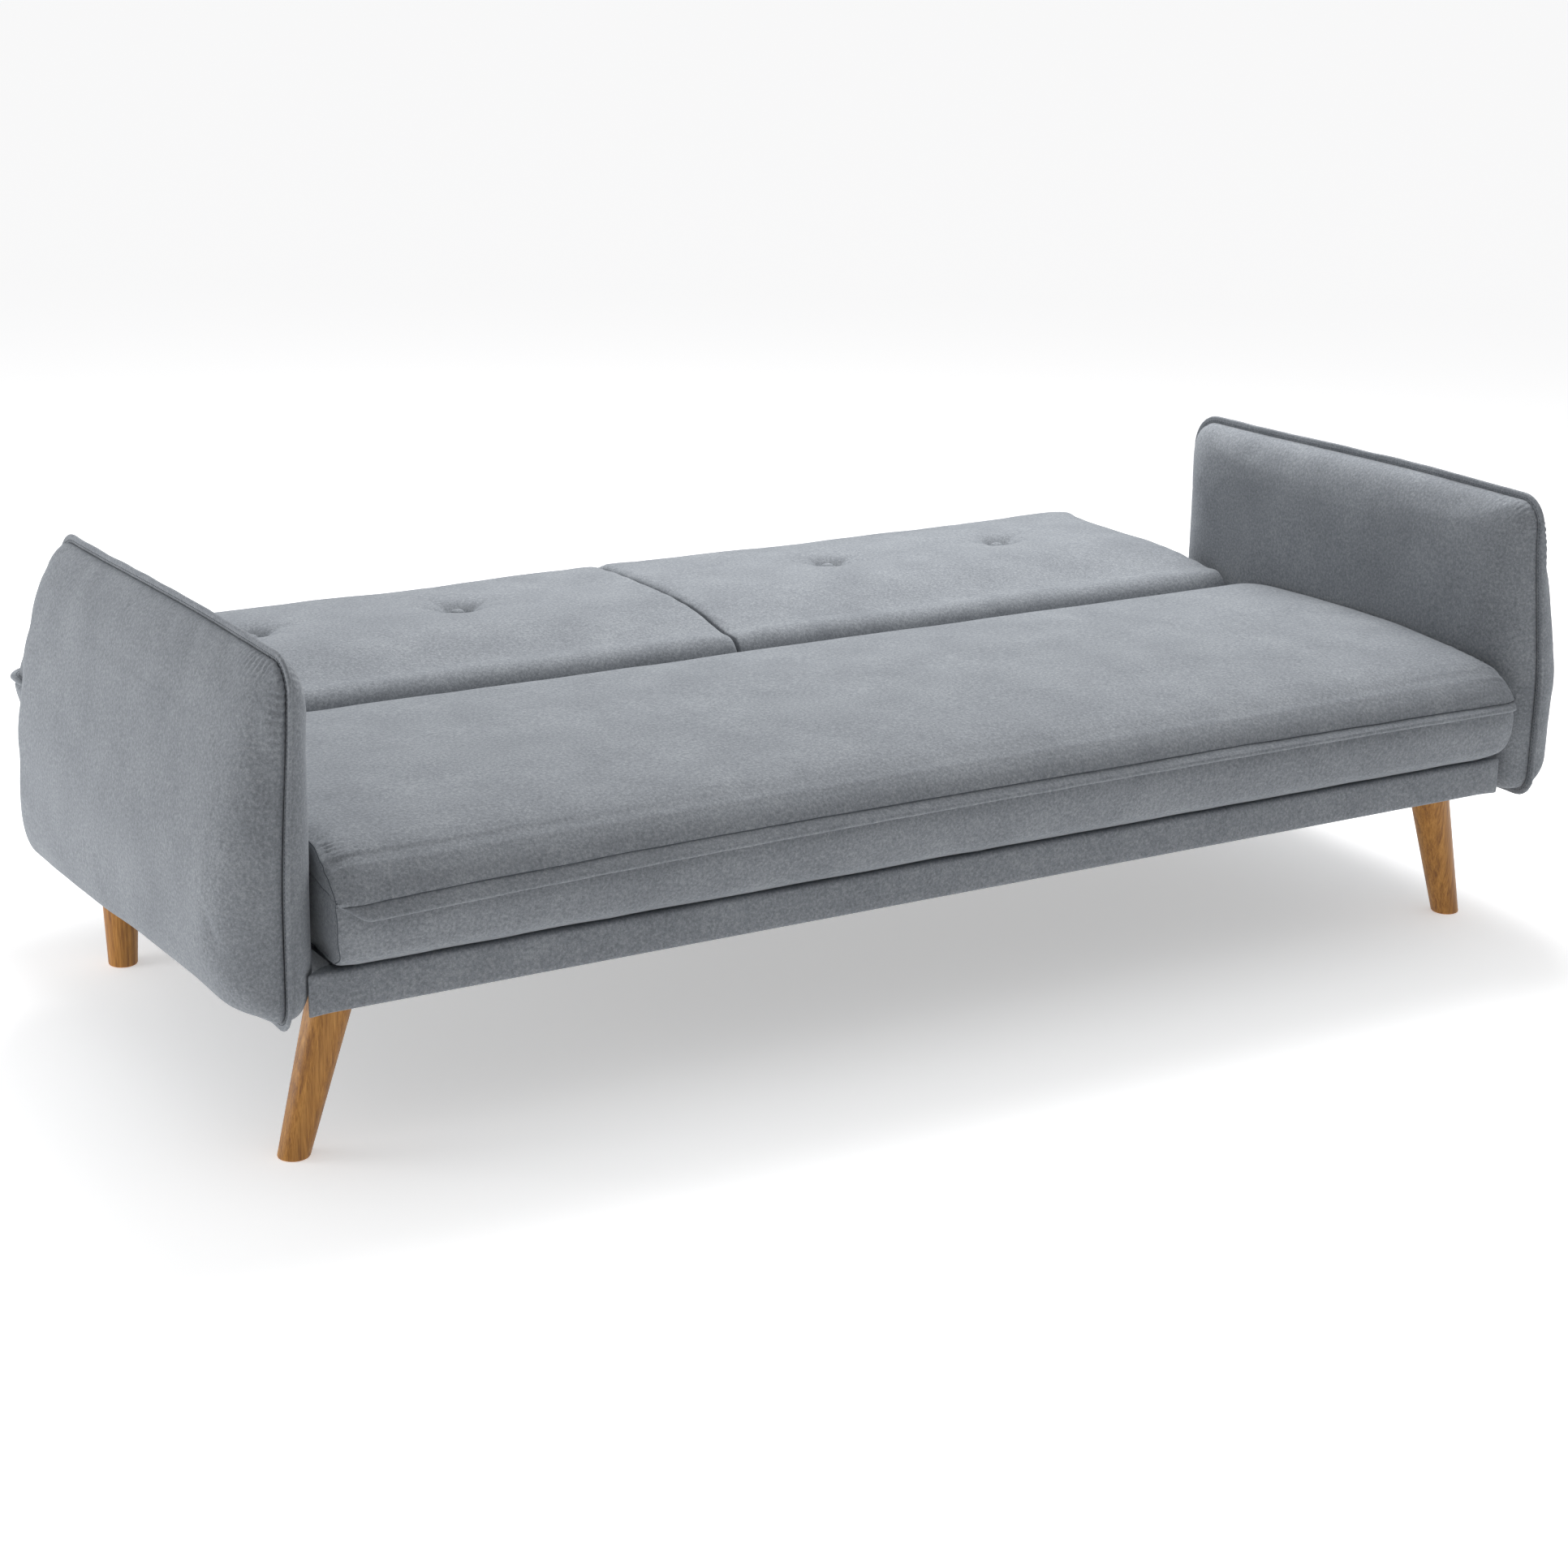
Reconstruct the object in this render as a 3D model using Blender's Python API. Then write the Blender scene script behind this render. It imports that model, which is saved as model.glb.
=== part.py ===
"""Sofa bed with two backs that fold down, standing on four tapered legs. Metres, +Z up.

X runs along the bed, -Y is the front, Z = 0 is the floor, and the origin is the middle of the footprint.
It stands as a bed. Each back turns up about its own hinge line, which is the middle of its round front
edge, so that edge never closes on the seat.
"""

import math

import bmesh
import bpy
from mathutils import Vector

# Overall sizes
BED_LENGTH = 1.860  # clear, from one arm's inner face to the other's
SEAT_DEPTH = 0.671  # from the seat's nose to the back's round front edge
BACK_DEPTH = 0.540  # from there to the back's rear edge
CUSHION_HEIGHT = 0.156  # seat and backs
LEG_HEIGHT = 0.218

# Base
BASE_DEPTH = 0.860
RAIL_HEIGHT = 0.054
RAIL_THICKNESS = 0.030
END_RAIL_WIDTH = 0.075
RAIL_EDGE = 0.004  # rounding of the upholstered rails
RAIL_END_REACH = 0.030  # how far the front rail's face runs on in front of the arms' inner pads
NOSE_OVERHANG = 0.040  # how far the seat stands in front of the rail
JOIST_THICKNESS = 0.024
INNER_RAISE = 0.0045  # the inner timbers end this far above the rails' undersides
SLAT_WIDTH = 0.070
SLAT_THICKNESS = 0.012
SLATS_PER_SIDE = 3
DUST_CLOTH = 0.0015
DUST_CLOTH_RAISE = 0.0012  # above the rails' undersides
CROSS_RAIL_SETBACK = 0.010  # in front of the backs
CUSHION_LIFT = 0.002  # the webbing between the deck and the cushions

# Arms
ARM_DEPTH = 0.800
ARM_HEIGHT = 0.439
ARM_DROP = 0.002  # the arm's pads hang this far below the rails
ARM_CORNER = 0.040
INNER_BULGE = 0.047
OUTER_BULGE = 0.076
INNER_ROUNDING = 0.052
OUTER_ROUNDING = 0.070
WELT_THICKNESS = 0.005
WELT_STAND = 0.011  # how far the welt stands out between the pads
WELT_TUCK = 0.008
ARM_BOARD = 0.018
ARM_BOARD_INSET = 0.016
ARM_BOARD_CORNER = 0.030

# Cushions
SEAT_NOSE_RADIUS = 0.070
SEAT_REAR_RADIUS = 0.030
SEAT_UNDERCUT = ((0.036, 0.0), (0.018, 0.014), (0.004, 0.040))  # behind the nose, above the underside
BACK_REAR_RADIUS = 0.055
BACK_UNDERCUT = 0.020  # slope under the back's rear edge
SPLIT = 0.006  # between the two backs
BACK_BOARD = 0.018
BACK_BOARD_INSET = 0.030  # from the back's rear edge
BACK_BOARD_SETBACK = 0.072  # behind the hinge line
BUTTON_RADIUS = 0.012
BUTTON_HEIGHT = 0.011
BUTTON_DEPTH = 0.004  # how far a button's top lies below the cushion
BUTTON_X = (0.329, 0.661)
BUTTON_FROM_REAR = 0.250
TUFT_PLAY = 0.002  # round a button in its tuft

# Hinges
LEAF = 0.004
LEAF_HALF_WIDTH = 0.016
LEAF_TAIL = 0.180
PIN_RADIUS = 0.004
LEAF_END_RAISE = 0.014  # a fixed leaf ends this far above the rails' undersides
LEAF_PLAY = 0.0012  # between an outer leaf and its cushion's end
LEAF_HEEL = 0.010  # the moving leaf bends this far in front of the board
LEAF_SHOULDER = 0.020  # and this far behind the board's front edge it is at its widest
LEAF_SHOULDER_RISE = 1.6  # board thicknesses
NOTCH_PLAY = 0.0005  # between a hinge's notch and the board's end
NOTCH_FRONT = 0.020
NOTCH_REAR = 0.010
NOTCH_ABOVE = 0.006
HINGE_EYE = 0.030  # length of the hole for a pin

# Legs and fixings
LEG_TOP_RADIUS = 0.031
LEG_FOOT_RADIUS = 0.021
FOOT_EDGE = 0.003
LEG_SPLAY = 0.059  # how far a front foot stands out from its leg's top
FRONT_LEG_X_INSET = 0.041  # from the clear bed length's end to a leg's top
REAR_LEG_X_INSET = 0.023
FRONT_LEG_INSET = 0.095  # from the front rail's face
REAR_LEG_INSET = 0.031  # from the base's rear
PLATE_SIDE = 0.060
PLATE_THICKNESS = 0.003
PLATE_INSET = 0.004  # from the rail's outer side
BOLT_RADIUS = 0.004
HANGER_REACH = 0.034  # above and below the leg's top
ARM_BOLT_RISE = 0.032  # above the rails' undersides
ARM_BOLT_Y = (0.150, 0.550)  # behind the front rail's face
ARM_BOLT_SHORT = 0.002  # the shank ends this far inside the arm board's outer face
BOLT_HEAD = 0.005

# Clearances
TOUCH = 0.0003  # between pieces that touch
SOFT_GAP = 0.004  # beside a cushion
BOLT_PLAY = 0.0004
CUT_PAST = 0.010  # how far a cutting guide reaches past what it cuts
ARM_BOLT_HOLE = 0.300  # length of the guide for an arm bolt's hole

# Places that follow from the sizes
NOSE_Y = -(SEAT_DEPTH + BACK_DEPTH) / 2
JUNCTION_Y = NOSE_Y + SEAT_DEPTH
REAR_Y = JUNCTION_Y + BACK_DEPTH
RAIL_Y = NOSE_Y + NOSE_OVERHANG
BASE_REAR_Y = RAIL_Y + BASE_DEPTH
RAIL_Z = LEG_HEIGHT
DECK_Z = RAIL_Z + RAIL_HEIGHT
CUSHION_Z = DECK_Z + CUSHION_LIFT
TOP_Z = CUSHION_Z + CUSHION_HEIGHT
HALF_BED = BED_LENGTH / 2
CUSHION_END = HALF_BED - SOFT_GAP
END_RAIL_OUT = CUSHION_END - LEAF - TOUCH - LEAF_PLAY
END_RAIL_IN = END_RAIL_OUT - END_RAIL_WIDTH
CROSS_RAIL_Y = JUNCTION_Y - CROSS_RAIL_SETBACK - RAIL_THICKNESS
NOSE_RADIUS = CUSHION_HEIGHT / 2
PIVOT = Vector((0, JUNCTION_Y + NOSE_RADIUS, CUSHION_Z + NOSE_RADIUS))
BACK_BOARD_Y = PIVOT.y + BACK_BOARD_SETBACK
WELT_X = HALF_BED + INNER_BULGE + TOUCH
BUTTON_Y = REAR_Y - BUTTON_FROM_REAR

ROUND = 20  # sides of a turned piece
CORNER_STEPS = 6
FINISHES = {  # colour, roughness, metallic
    "upholstery": ((0.268, 0.296, 0.330), 0.95, 0.0),
    "oiled_leg_wood": ((0.361, 0.191, 0.069), 0.45, 0.0),
    "frame_timber": ((0.520, 0.370, 0.210), 0.70, 0.0),
    "zinc_steel": ((0.560, 0.570, 0.580), 0.35, 1.0),
    "dust_cloth": ((0.012, 0.012, 0.013), 0.95, 0.0),
}


def finish(name):
    material = bpy.data.materials.get(name)
    if material is None:
        colour, roughness, metallic = FINISHES[name]
        material = bpy.data.materials.new(name)
        material.use_nodes = True
        shader = material.node_tree.nodes["Principled BSDF"]
        shader.inputs["Base Color"].default_value = (*colour, 1.0)
        shader.inputs["Roughness"].default_value = roughness
        shader.inputs["Metallic"].default_value = metallic
    return material


def piece(name, bm, slot, place, parent=None, turn=(0.0, 0.0, 0.0), smooth=False):
    """An object made of a mesh modelled about its own origin, standing at a place in the world."""
    bmesh.ops.recalc_face_normals(bm, faces=bm.faces)
    mesh = bpy.data.meshes.new(name)
    bm.to_mesh(mesh)
    bm.free()
    if smooth:
        mesh.shade_smooth()
        mesh.set_sharp_from_angle(angle=math.radians(40))
    obj = bpy.data.objects.new(name, mesh)
    if slot:
        mesh.materials.append(finish(slot))
    bpy.context.scene.collection.objects.link(obj)
    obj.location = Vector(place) - (parent.location if parent else Vector())
    obj.rotation_euler = turn
    obj.parent = parent
    return obj


def block(name, low, high, slot, parent=None, edge=0.0):
    """A board or bar between two corners, with its edges rounded over."""
    low, high = Vector(low), Vector(high)
    bm = bmesh.new()
    bmesh.ops.create_cube(bm, size=1.0)
    bmesh.ops.scale(bm, vec=high - low, verts=bm.verts)
    if edge:
        bmesh.ops.bevel(bm, geom=bm.edges, offset=edge, segments=2, profile=0.5, affect="EDGES")
    return piece(name, bm, slot, (low + high) / 2, parent)


def arc(centre, radius, start, stop, steps):
    """Points of an arc in the YZ plane, from one angle in degrees to another."""
    angles = [math.radians(start + (stop - start) * i / steps) for i in range(steps + 1)]
    return [(centre[0] + radius * math.cos(a), centre[1] + radius * math.sin(a)) for a in angles]


def rounded_outline(low, high, radius):
    """A rectangle in the YZ plane with round corners."""
    corners = (
        ((high[0] - radius, high[1] - radius), 0),
        ((low[0] + radius, high[1] - radius), 90),
        ((low[0] + radius, low[1] + radius), 180),
        ((high[0] - radius, low[1] + radius), 270),
    )
    return [p for centre, start in corners for p in arc(centre, radius, start, start + 90, CORNER_STEPS)]


def skin(rings):
    """A closed mesh through rings of (x, y, z) points, with its first and last ring filled."""
    bm = bmesh.new()
    made = [[bm.verts.new(p) for p in ring] for ring in rings]
    for first, second in zip(made, made[1:]):
        for i in range(len(first)):
            j = (i + 1) % len(first)
            bm.faces.new((first[i], first[j], second[j], second[i]))
    bm.faces.new(made[0][::-1])
    bm.faces.new(made[-1])
    return bm


def slab(name, outline, x_low, x_high, slot, parent=None, smooth=False):
    """An outline in the YZ plane, drawn out along X."""
    origin = parent.location if parent else Vector((0, outline[0][0], outline[0][1]))
    rings = [[(x, y - origin.y, z - origin.z) for y, z in outline] for x in (x_low, x_high)]
    return piece(name, skin(rings), slot, (0, origin.y, origin.z), parent, smooth=smooth)


def turned(name, profile, slot, place, parent=None, turn=(0.0, 0.0, 0.0), lean=0.0):
    """A profile of (radius, height) spun about Z, from lower pole to upper. It leans to +X by lean."""
    stretch = math.hypot(1.0, lean)  # a level cut through a leaning round leg is longer along the lean
    rings = []
    for radius, height in profile:
        angles = [2 * math.pi * i / ROUND for i in range(ROUND)]
        along, middle = stretch * radius, lean * height
        rings.append([(middle + along * math.cos(a), radius * math.sin(a), height) for a in angles])
    return piece(name, skin(rings), slot, place, parent, turn, smooth=True)


def cut(target, cutter, title):
    """Takes a hidden guide piece out of another piece."""
    cutter.hide_render = True
    cutter.display_type = "WIRE"
    modifier = target.modifiers.new(title, "BOOLEAN")
    modifier.operation = "DIFFERENCE"
    modifier.solver = "EXACT"
    modifier.object = cutter


def drill(name, place, radius, length, along_x=False):
    """A hidden round guide, centred on a place, for cutting a hole."""
    turn = (0.0, math.pi / 2, 0.0) if along_x else (0.0, 0.0, 0.0)
    profile = [(radius, -length / 2), (radius, length / 2)]
    return turned(name, profile, None, place, turn=turn)


def make_front_rail(slot):
    """Its ends are cut on a slant, so that its face is longer than its rear side."""
    rear, face = RAIL_Y + RAIL_THICKNESS, CUSHION_END + RAIL_END_REACH
    plan = [(-CUSHION_END, rear), (-face, RAIL_Y), (face, RAIL_Y), (CUSHION_END, rear)]
    bm = skin([[(x, y, z) for x, y in plan] for z in (RAIL_Z, DECK_Z)])
    bmesh.ops.bevel(bm, geom=bm.edges, offset=RAIL_EDGE, segments=2, profile=0.5, affect="EDGES")
    piece("front_rail", bm, slot, (0, 0, 0))


def make_base():
    """The timber frame under the cushions: rails all round, a middle joist and slats under the seat."""
    timber, cloth = "frame_timber", "upholstery"
    inner_z = RAIL_Z + INNER_RAISE
    inside_y = RAIL_Y + RAIL_THICKNESS + TOUCH
    make_front_rail(cloth)
    rear_low = BASE_REAR_Y - RAIL_THICKNESS
    half_rear = END_RAIL_IN - TOUCH
    rear_high = (half_rear, BASE_REAR_Y, DECK_Z)
    block("rear_rail", (-half_rear, rear_low, RAIL_Z), rear_high, cloth, edge=RAIL_EDGE)
    half_joist = JOIST_THICKNESS / 2
    block(
        "centre_joist",
        (-half_joist, inside_y, inner_z),
        (half_joist, rear_low - TOUCH, DECK_Z),
        timber,
    )
    block(
        "dust_cloth",
        (-half_rear, inside_y, RAIL_Z + DUST_CLOTH_RAISE),
        (half_rear, rear_low - TOUCH, RAIL_Z + DUST_CLOTH_RAISE + DUST_CLOTH),
        "dust_cloth",
    )
    bay_low, bay_high = half_joist + TOUCH, END_RAIL_IN - TOUCH
    for side, sign in (("left", -1), ("right", 1)):
        low_x, high_x = sorted((sign * bay_low, sign * bay_high))
        block(
            f"{side}_cross_rail",
            (low_x, CROSS_RAIL_Y, inner_z),
            (high_x, CROSS_RAIL_Y + RAIL_THICKNESS, DECK_Z),
            timber,
        )
        pitch = (bay_high - bay_low) / (SLATS_PER_SIDE + 1)
        for number in range(1, SLATS_PER_SIDE + 1):
            x = sign * (bay_low + pitch * number)
            block(
                f"{side}_slat_{number}",
                (x - SLAT_WIDTH / 2, inside_y, DECK_Z - SLAT_THICKNESS),
                (x + SLAT_WIDTH / 2, CROSS_RAIL_Y - TOUCH, DECK_Z),
                timber,
            )


def make_end(side, sign):
    """One end of the base: its rail, its two legs with their plates and bolts, and the arm bolted to it."""
    low_x, high_x = sorted((sign * END_RAIL_IN, sign * END_RAIL_OUT))
    rail_front = RAIL_Y + RAIL_THICKNESS + TOUCH
    rail = block(
        f"{side}_end_rail",
        (low_x, rail_front, RAIL_Z),
        (high_x, BASE_REAR_Y, DECK_Z),
        "frame_timber",
    )
    legs = (
        ("front", HALF_BED - FRONT_LEG_X_INSET, RAIL_Y + FRONT_LEG_INSET, LEG_SPLAY / LEG_HEIGHT),
        ("rear", HALF_BED - REAR_LEG_X_INSET, BASE_REAR_Y - REAR_LEG_INSET, 0.0),
    )
    for end, x, y, splay in legs:
        make_leg(f"{end}_{side}", sign * x, y, -sign * splay, rail)
    make_arm(side, sign, rail)


def make_leg(label, x, y, lean, rail):
    """A turned leg, the plate let into the rail above it, and the hanger bolt that joins the three."""
    top = RAIL_Z - TOUCH
    bore = BOLT_RADIUS + BOLT_PLAY
    leg = turned(
        f"{label}_leg",
        [
            (LEG_FOOT_RADIUS - FOOT_EDGE, -top),
            (LEG_FOOT_RADIUS - FOOT_EDGE * 0.3, -top + FOOT_EDGE * 0.3),
            (LEG_FOOT_RADIUS, -top + FOOT_EDGE),
            (LEG_TOP_RADIUS, 0.0),
        ],
        "oiled_leg_wood",
        (x, y, top),
        lean=lean,
    )
    plate_z = RAIL_Z + TOUCH
    half = PLATE_SIDE / 2
    centre = min(abs(x), END_RAIL_OUT - half - PLATE_INSET) * (1 if x > 0 else -1)
    plate = block(
        f"{label}_leg_plate",
        (centre - half, y - half, plate_z),
        (centre + half, y + half, plate_z + PLATE_THICKNESS),
        "zinc_steel",
    )
    pocket = block(
        f"{label}_plate_pocket",
        (centre - half - TOUCH, y - half - TOUCH, RAIL_Z - CUT_PAST),
        (centre + half + TOUCH, y + half + TOUCH, plate_z + PLATE_THICKNESS + TOUCH),
        None,
    )
    hole = drill(f"{label}_hanger_hole", (x, y, top), bore, 2 * (HANGER_REACH + TOUCH))
    cut(rail, pocket, f"{label} plate pocket")
    for target in (leg, plate, rail):
        cut(target, hole, f"{label} hanger hole")
    turned(
        f"{label}_hanger_bolt",
        [(BOLT_RADIUS, -HANGER_REACH), (BOLT_RADIUS, HANGER_REACH)],
        "zinc_steel",
        (x, y, top),
    )


def puffed(outline_of, x_flat, bulge, rounding, sign):
    """Rings of a pad that is flat on one side and swells out with round edges on the other."""
    steps = 5
    rings = [[(x_flat, y, z) for y, z in outline_of(0.0)]]
    for i in range(1, steps + 1):
        angle = math.pi / 2 * i / steps
        x = x_flat + sign * bulge * math.sin(angle)
        rings.append([(x, y, z) for y, z in outline_of(rounding * (1 - math.cos(angle)))])
    return rings


def make_arm(side, sign, rail):
    """A board between an inner and an outer pad, with a flat welt standing out all round where they meet."""
    low = Vector((RAIL_Y, RAIL_Z - ARM_DROP))
    high = low + Vector((ARM_DEPTH, ARM_HEIGHT))

    def outline_of(inset, radius=ARM_CORNER):
        return rounded_outline(low + Vector((inset, inset)), high - Vector((inset, inset)), radius)

    welt_x = sign * WELT_X
    inner_x = welt_x - sign * TOUCH
    outer_x = welt_x + sign * (WELT_THICKNESS + TOUCH)
    inner = piece(
        f"{side}_arm_inner_pad",
        skin(puffed(outline_of, inner_x, INNER_BULGE, INNER_ROUNDING, -sign)),
        "upholstery",
        (0, 0, 0),
        smooth=True,
    )
    piece(
        f"{side}_arm_outer_pad",
        skin(puffed(outline_of, outer_x, OUTER_BULGE, OUTER_ROUNDING, sign)),
        "upholstery",
        (0, 0, 0),
        smooth=True,
    )
    ends = (welt_x, welt_x + sign * WELT_THICKNESS)
    welt = slab(f"{side}_arm_welt", outline_of(-WELT_STAND, ARM_CORNER + WELT_STAND), *ends, "upholstery")
    window = slab(
        f"{side}_welt_window",
        outline_of(WELT_TUCK, ARM_CORNER - WELT_TUCK),
        ends[0] - sign * CUT_PAST,
        ends[1] + sign * CUT_PAST,
        None,
    )
    cut(welt, window, "window for the pads")

    board_out = ends[1]
    board_in = board_out - sign * ARM_BOARD
    board = slab(
        f"{side}_arm_board",
        outline_of(ARM_BOARD_INSET, ARM_BOARD_CORNER),
        board_in,
        board_out,
        "frame_timber",
    )
    pocket = slab(
        f"{side}_arm_board_pocket",
        outline_of(ARM_BOARD_INSET - TOUCH, ARM_BOARD_CORNER + TOUCH),
        board_in - sign * TOUCH,
        inner_x + sign * CUT_PAST,
        None,
    )
    cut(inner, pocket, "pocket for the board")

    shank_start = sign * (END_RAIL_IN - TOUCH)
    for end, back in zip(("front", "rear"), ARM_BOLT_Y):
        place = Vector((0, RAIL_Y + back, RAIL_Z + ARM_BOLT_RISE))
        length = abs(board_out - shank_start) - ARM_BOLT_SHORT
        turned(
            f"{side}_arm_{end}_bolt",
            [
                (2 * BOLT_RADIUS, -BOLT_HEAD),
                (2 * BOLT_RADIUS, 0.0),
                (BOLT_RADIUS, 0.0),
                (BOLT_RADIUS, length),
            ],
            "zinc_steel",
            (shank_start, place.y, place.z),
            turn=(0.0, sign * math.pi / 2, 0.0),
        )
        hole = drill(
            f"{side}_arm_{end}_bolt_hole",
            (sign * HALF_BED, place.y, place.z),
            BOLT_RADIUS + BOLT_PLAY,
            ARM_BOLT_HOLE,
            along_x=True,
        )
        for target in (rail, inner, board):
            cut(target, hole, f"{end} arm bolt")


def make_seat():
    """One long cushion: a round nose over the front rail, a flat top, and a small radius beside the backs."""
    rear = JUNCTION_Y - SOFT_GAP
    nose, back = SEAT_NOSE_RADIUS, SEAT_REAR_RADIUS
    tuck = [(NOSE_Y + behind, CUSHION_Z + above) for behind, above in SEAT_UNDERCUT]
    outline = [tuck[0], (rear, CUSHION_Z)]
    outline += arc((rear - back, TOP_Z - back), back, 0, 90, CORNER_STEPS)
    outline += arc((NOSE_Y + nose, TOP_Z - nose), nose, 90, 180, CORNER_STEPS)
    outline += tuck[:0:-1]
    slab("seat_cushion", outline, -CUSHION_END, CUSHION_END, "upholstery", smooth=True)


def back_outline():
    """Round at the front about the hinge line, a shelf below for the board, and rounded over at the rear."""
    shelf = CUSHION_Z + BACK_BOARD + 2 * TOUCH
    rear = BACK_REAR_RADIUS
    outline = arc((PIVOT.y, PIVOT.z), NOSE_RADIUS, 90, 270, 2 * CORNER_STEPS)
    outline += [
        (BACK_BOARD_Y - TOUCH, CUSHION_Z),
        (BACK_BOARD_Y - TOUCH, shelf),
        (REAR_Y - BACK_UNDERCUT, shelf),
        (REAR_Y, shelf + BACK_UNDERCUT),
    ]
    return outline + arc((REAR_Y - rear, TOP_Z - rear), rear, 0, 90, CORNER_STEPS)


def make_back(side, sign):
    """One back: its cushion on a board, two buttons, and a hinge at each end of its front edge."""
    axis = bpy.data.objects.new(f"{side}_back_axis", None)
    axis.location = (0, PIVOT.y, PIVOT.z)
    bpy.context.scene.collection.objects.link(axis)

    half_joist = JOIST_THICKNESS / 2
    fixed_in = half_joist + TOUCH
    moving_in = fixed_in + LEAF + TOUCH
    board_in = moving_in + LEAF + TOUCH
    fixed_out = END_RAIL_OUT + TOUCH
    moving_out = fixed_out - TOUCH - LEAF
    board_out = moving_out - TOUCH

    low_x, high_x = sorted((sign * SPLIT / 2, sign * CUSHION_END))
    cushion = slab(f"{side}_back_cushion", back_outline(), low_x, high_x, "upholstery", axis, smooth=True)
    block(
        f"{side}_back_board",
        (min(sign * board_in, sign * board_out), BACK_BOARD_Y, CUSHION_Z + TOUCH),
        (max(sign * board_in, sign * board_out), REAR_Y - BACK_BOARD_INSET, CUSHION_Z + TOUCH + BACK_BOARD),
        "frame_timber",
        axis,
    )
    for number, x in enumerate(BUTTON_X, 1):
        make_button(f"{side}_button_{number}", sign * x, axis, cushion)
    hinges = (
        ("inner", 0.0, fixed_in, moving_in, board_in + NOTCH_PLAY),
        ("outer", CUSHION_END + CUT_PAST, fixed_out, moving_out, board_out - NOTCH_PLAY),
    )
    for end, notch_from, fixed, moving, notch_to in hinges:
        notch_x = sorted((sign * notch_from, sign * notch_to))
        notch = block(
            f"{side}_{end}_hinge_notch",
            (notch_x[0], JUNCTION_Y - NOTCH_FRONT, CUSHION_Z - CUT_PAST),
            (notch_x[1], PIVOT.y + LEAF_TAIL + NOTCH_REAR, PIVOT.z + LEAF_HALF_WIDTH + NOTCH_ABOVE),
            None,
        )
        cut(cushion, notch, f"{end} hinge notch")
        make_hinge(f"{side}_{end}", sign, fixed, moving, axis)


def make_button(name, x, axis, cushion):
    """A covered button at the bottom of its tuft."""
    top = TOP_Z - BUTTON_DEPTH
    base = top - BUTTON_HEIGHT
    radius = BUTTON_RADIUS
    turned(
        name,
        [
            (radius * 0.9, 0.0),
            (radius, BUTTON_HEIGHT * 0.35),
            (radius * 0.8, BUTTON_HEIGHT * 0.8),
            (radius * 0.4, BUTTON_HEIGHT),
        ],
        "upholstery",
        (x, BUTTON_Y, base),
        axis,
    )
    depth = BUTTON_DEPTH + BUTTON_HEIGHT + TOUCH
    tuft = drill(f"{name}_tuft", (x, BUTTON_Y, TOP_Z), radius + TUFT_PLAY, 2 * depth)
    cut(cushion, tuft, f"{name} tuft")


def make_hinge(label, sign, fixed_x, moving_x, axis):
    """A leaf bolted to the base, a leaf on the back's board, and the pin through both."""
    y, z, width = PIVOT.y, PIVOT.z, LEAF_HALF_WIDTH
    fixed_outline = arc((y, z), width, 0, 180, CORNER_STEPS) + [
        (y - width, RAIL_Z + LEAF_END_RAISE),
        (y + width, RAIL_Z + LEAF_END_RAISE),
    ]
    foot = CUSHION_Z + 2 * TOUCH
    moving_outline = arc((y, z), width, 80, 235, CORNER_STEPS) + [
        (BACK_BOARD_Y - LEAF_HEEL, foot),
        (y + LEAF_TAIL, foot),
        (y + LEAF_TAIL, foot + BACK_BOARD),
        (BACK_BOARD_Y + LEAF_SHOULDER, foot + LEAF_SHOULDER_RISE * BACK_BOARD),
    ]
    fixed_ends = (sign * fixed_x, sign * (fixed_x + LEAF))
    moving_ends = (sign * moving_x, sign * (moving_x + LEAF))
    fixed = slab(f"{label}_fixed_leaf", fixed_outline, *fixed_ends, "zinc_steel")
    moving = slab(f"{label}_moving_leaf", moving_outline, *moving_ends, "zinc_steel", axis)
    low = min(fixed_x, moving_x)
    high = max(fixed_x, moving_x) + LEAF
    middle = (sign * (low + high) / 2, y, z)
    eye = drill(f"{label}_hinge_eye", middle, PIN_RADIUS + BOLT_PLAY, HINGE_EYE, along_x=True)
    cut(fixed, eye, "pin hole")
    cut(moving, eye, "pin hole")
    half = (high - low) / 2
    turned(
        f"{label}_hinge_pin",
        [(PIN_RADIUS, -half), (PIN_RADIUS, half)],
        "zinc_steel",
        middle,
        turn=(0.0, math.pi / 2, 0.0),
    )


for old in list(bpy.data.objects):
    bpy.data.objects.remove(old, do_unlink=True)
make_base()
make_seat()
for name_of_side, sign_of_side in (("left", -1), ("right", 1)):
    make_end(name_of_side, sign_of_side)
    make_back(name_of_side, sign_of_side)
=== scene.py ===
# %% [markdown]
# # Dressing a sofa bed
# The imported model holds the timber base, the hinges and a plain solid for each cushion, all in metres
# and all in their right places. This lesson covers it: felt over foam, flat welts between the panels,
# stitched seams, oiled wooden legs and a stapled dust cloth. The frame comes first, because every
# size below is read from it.

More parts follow.
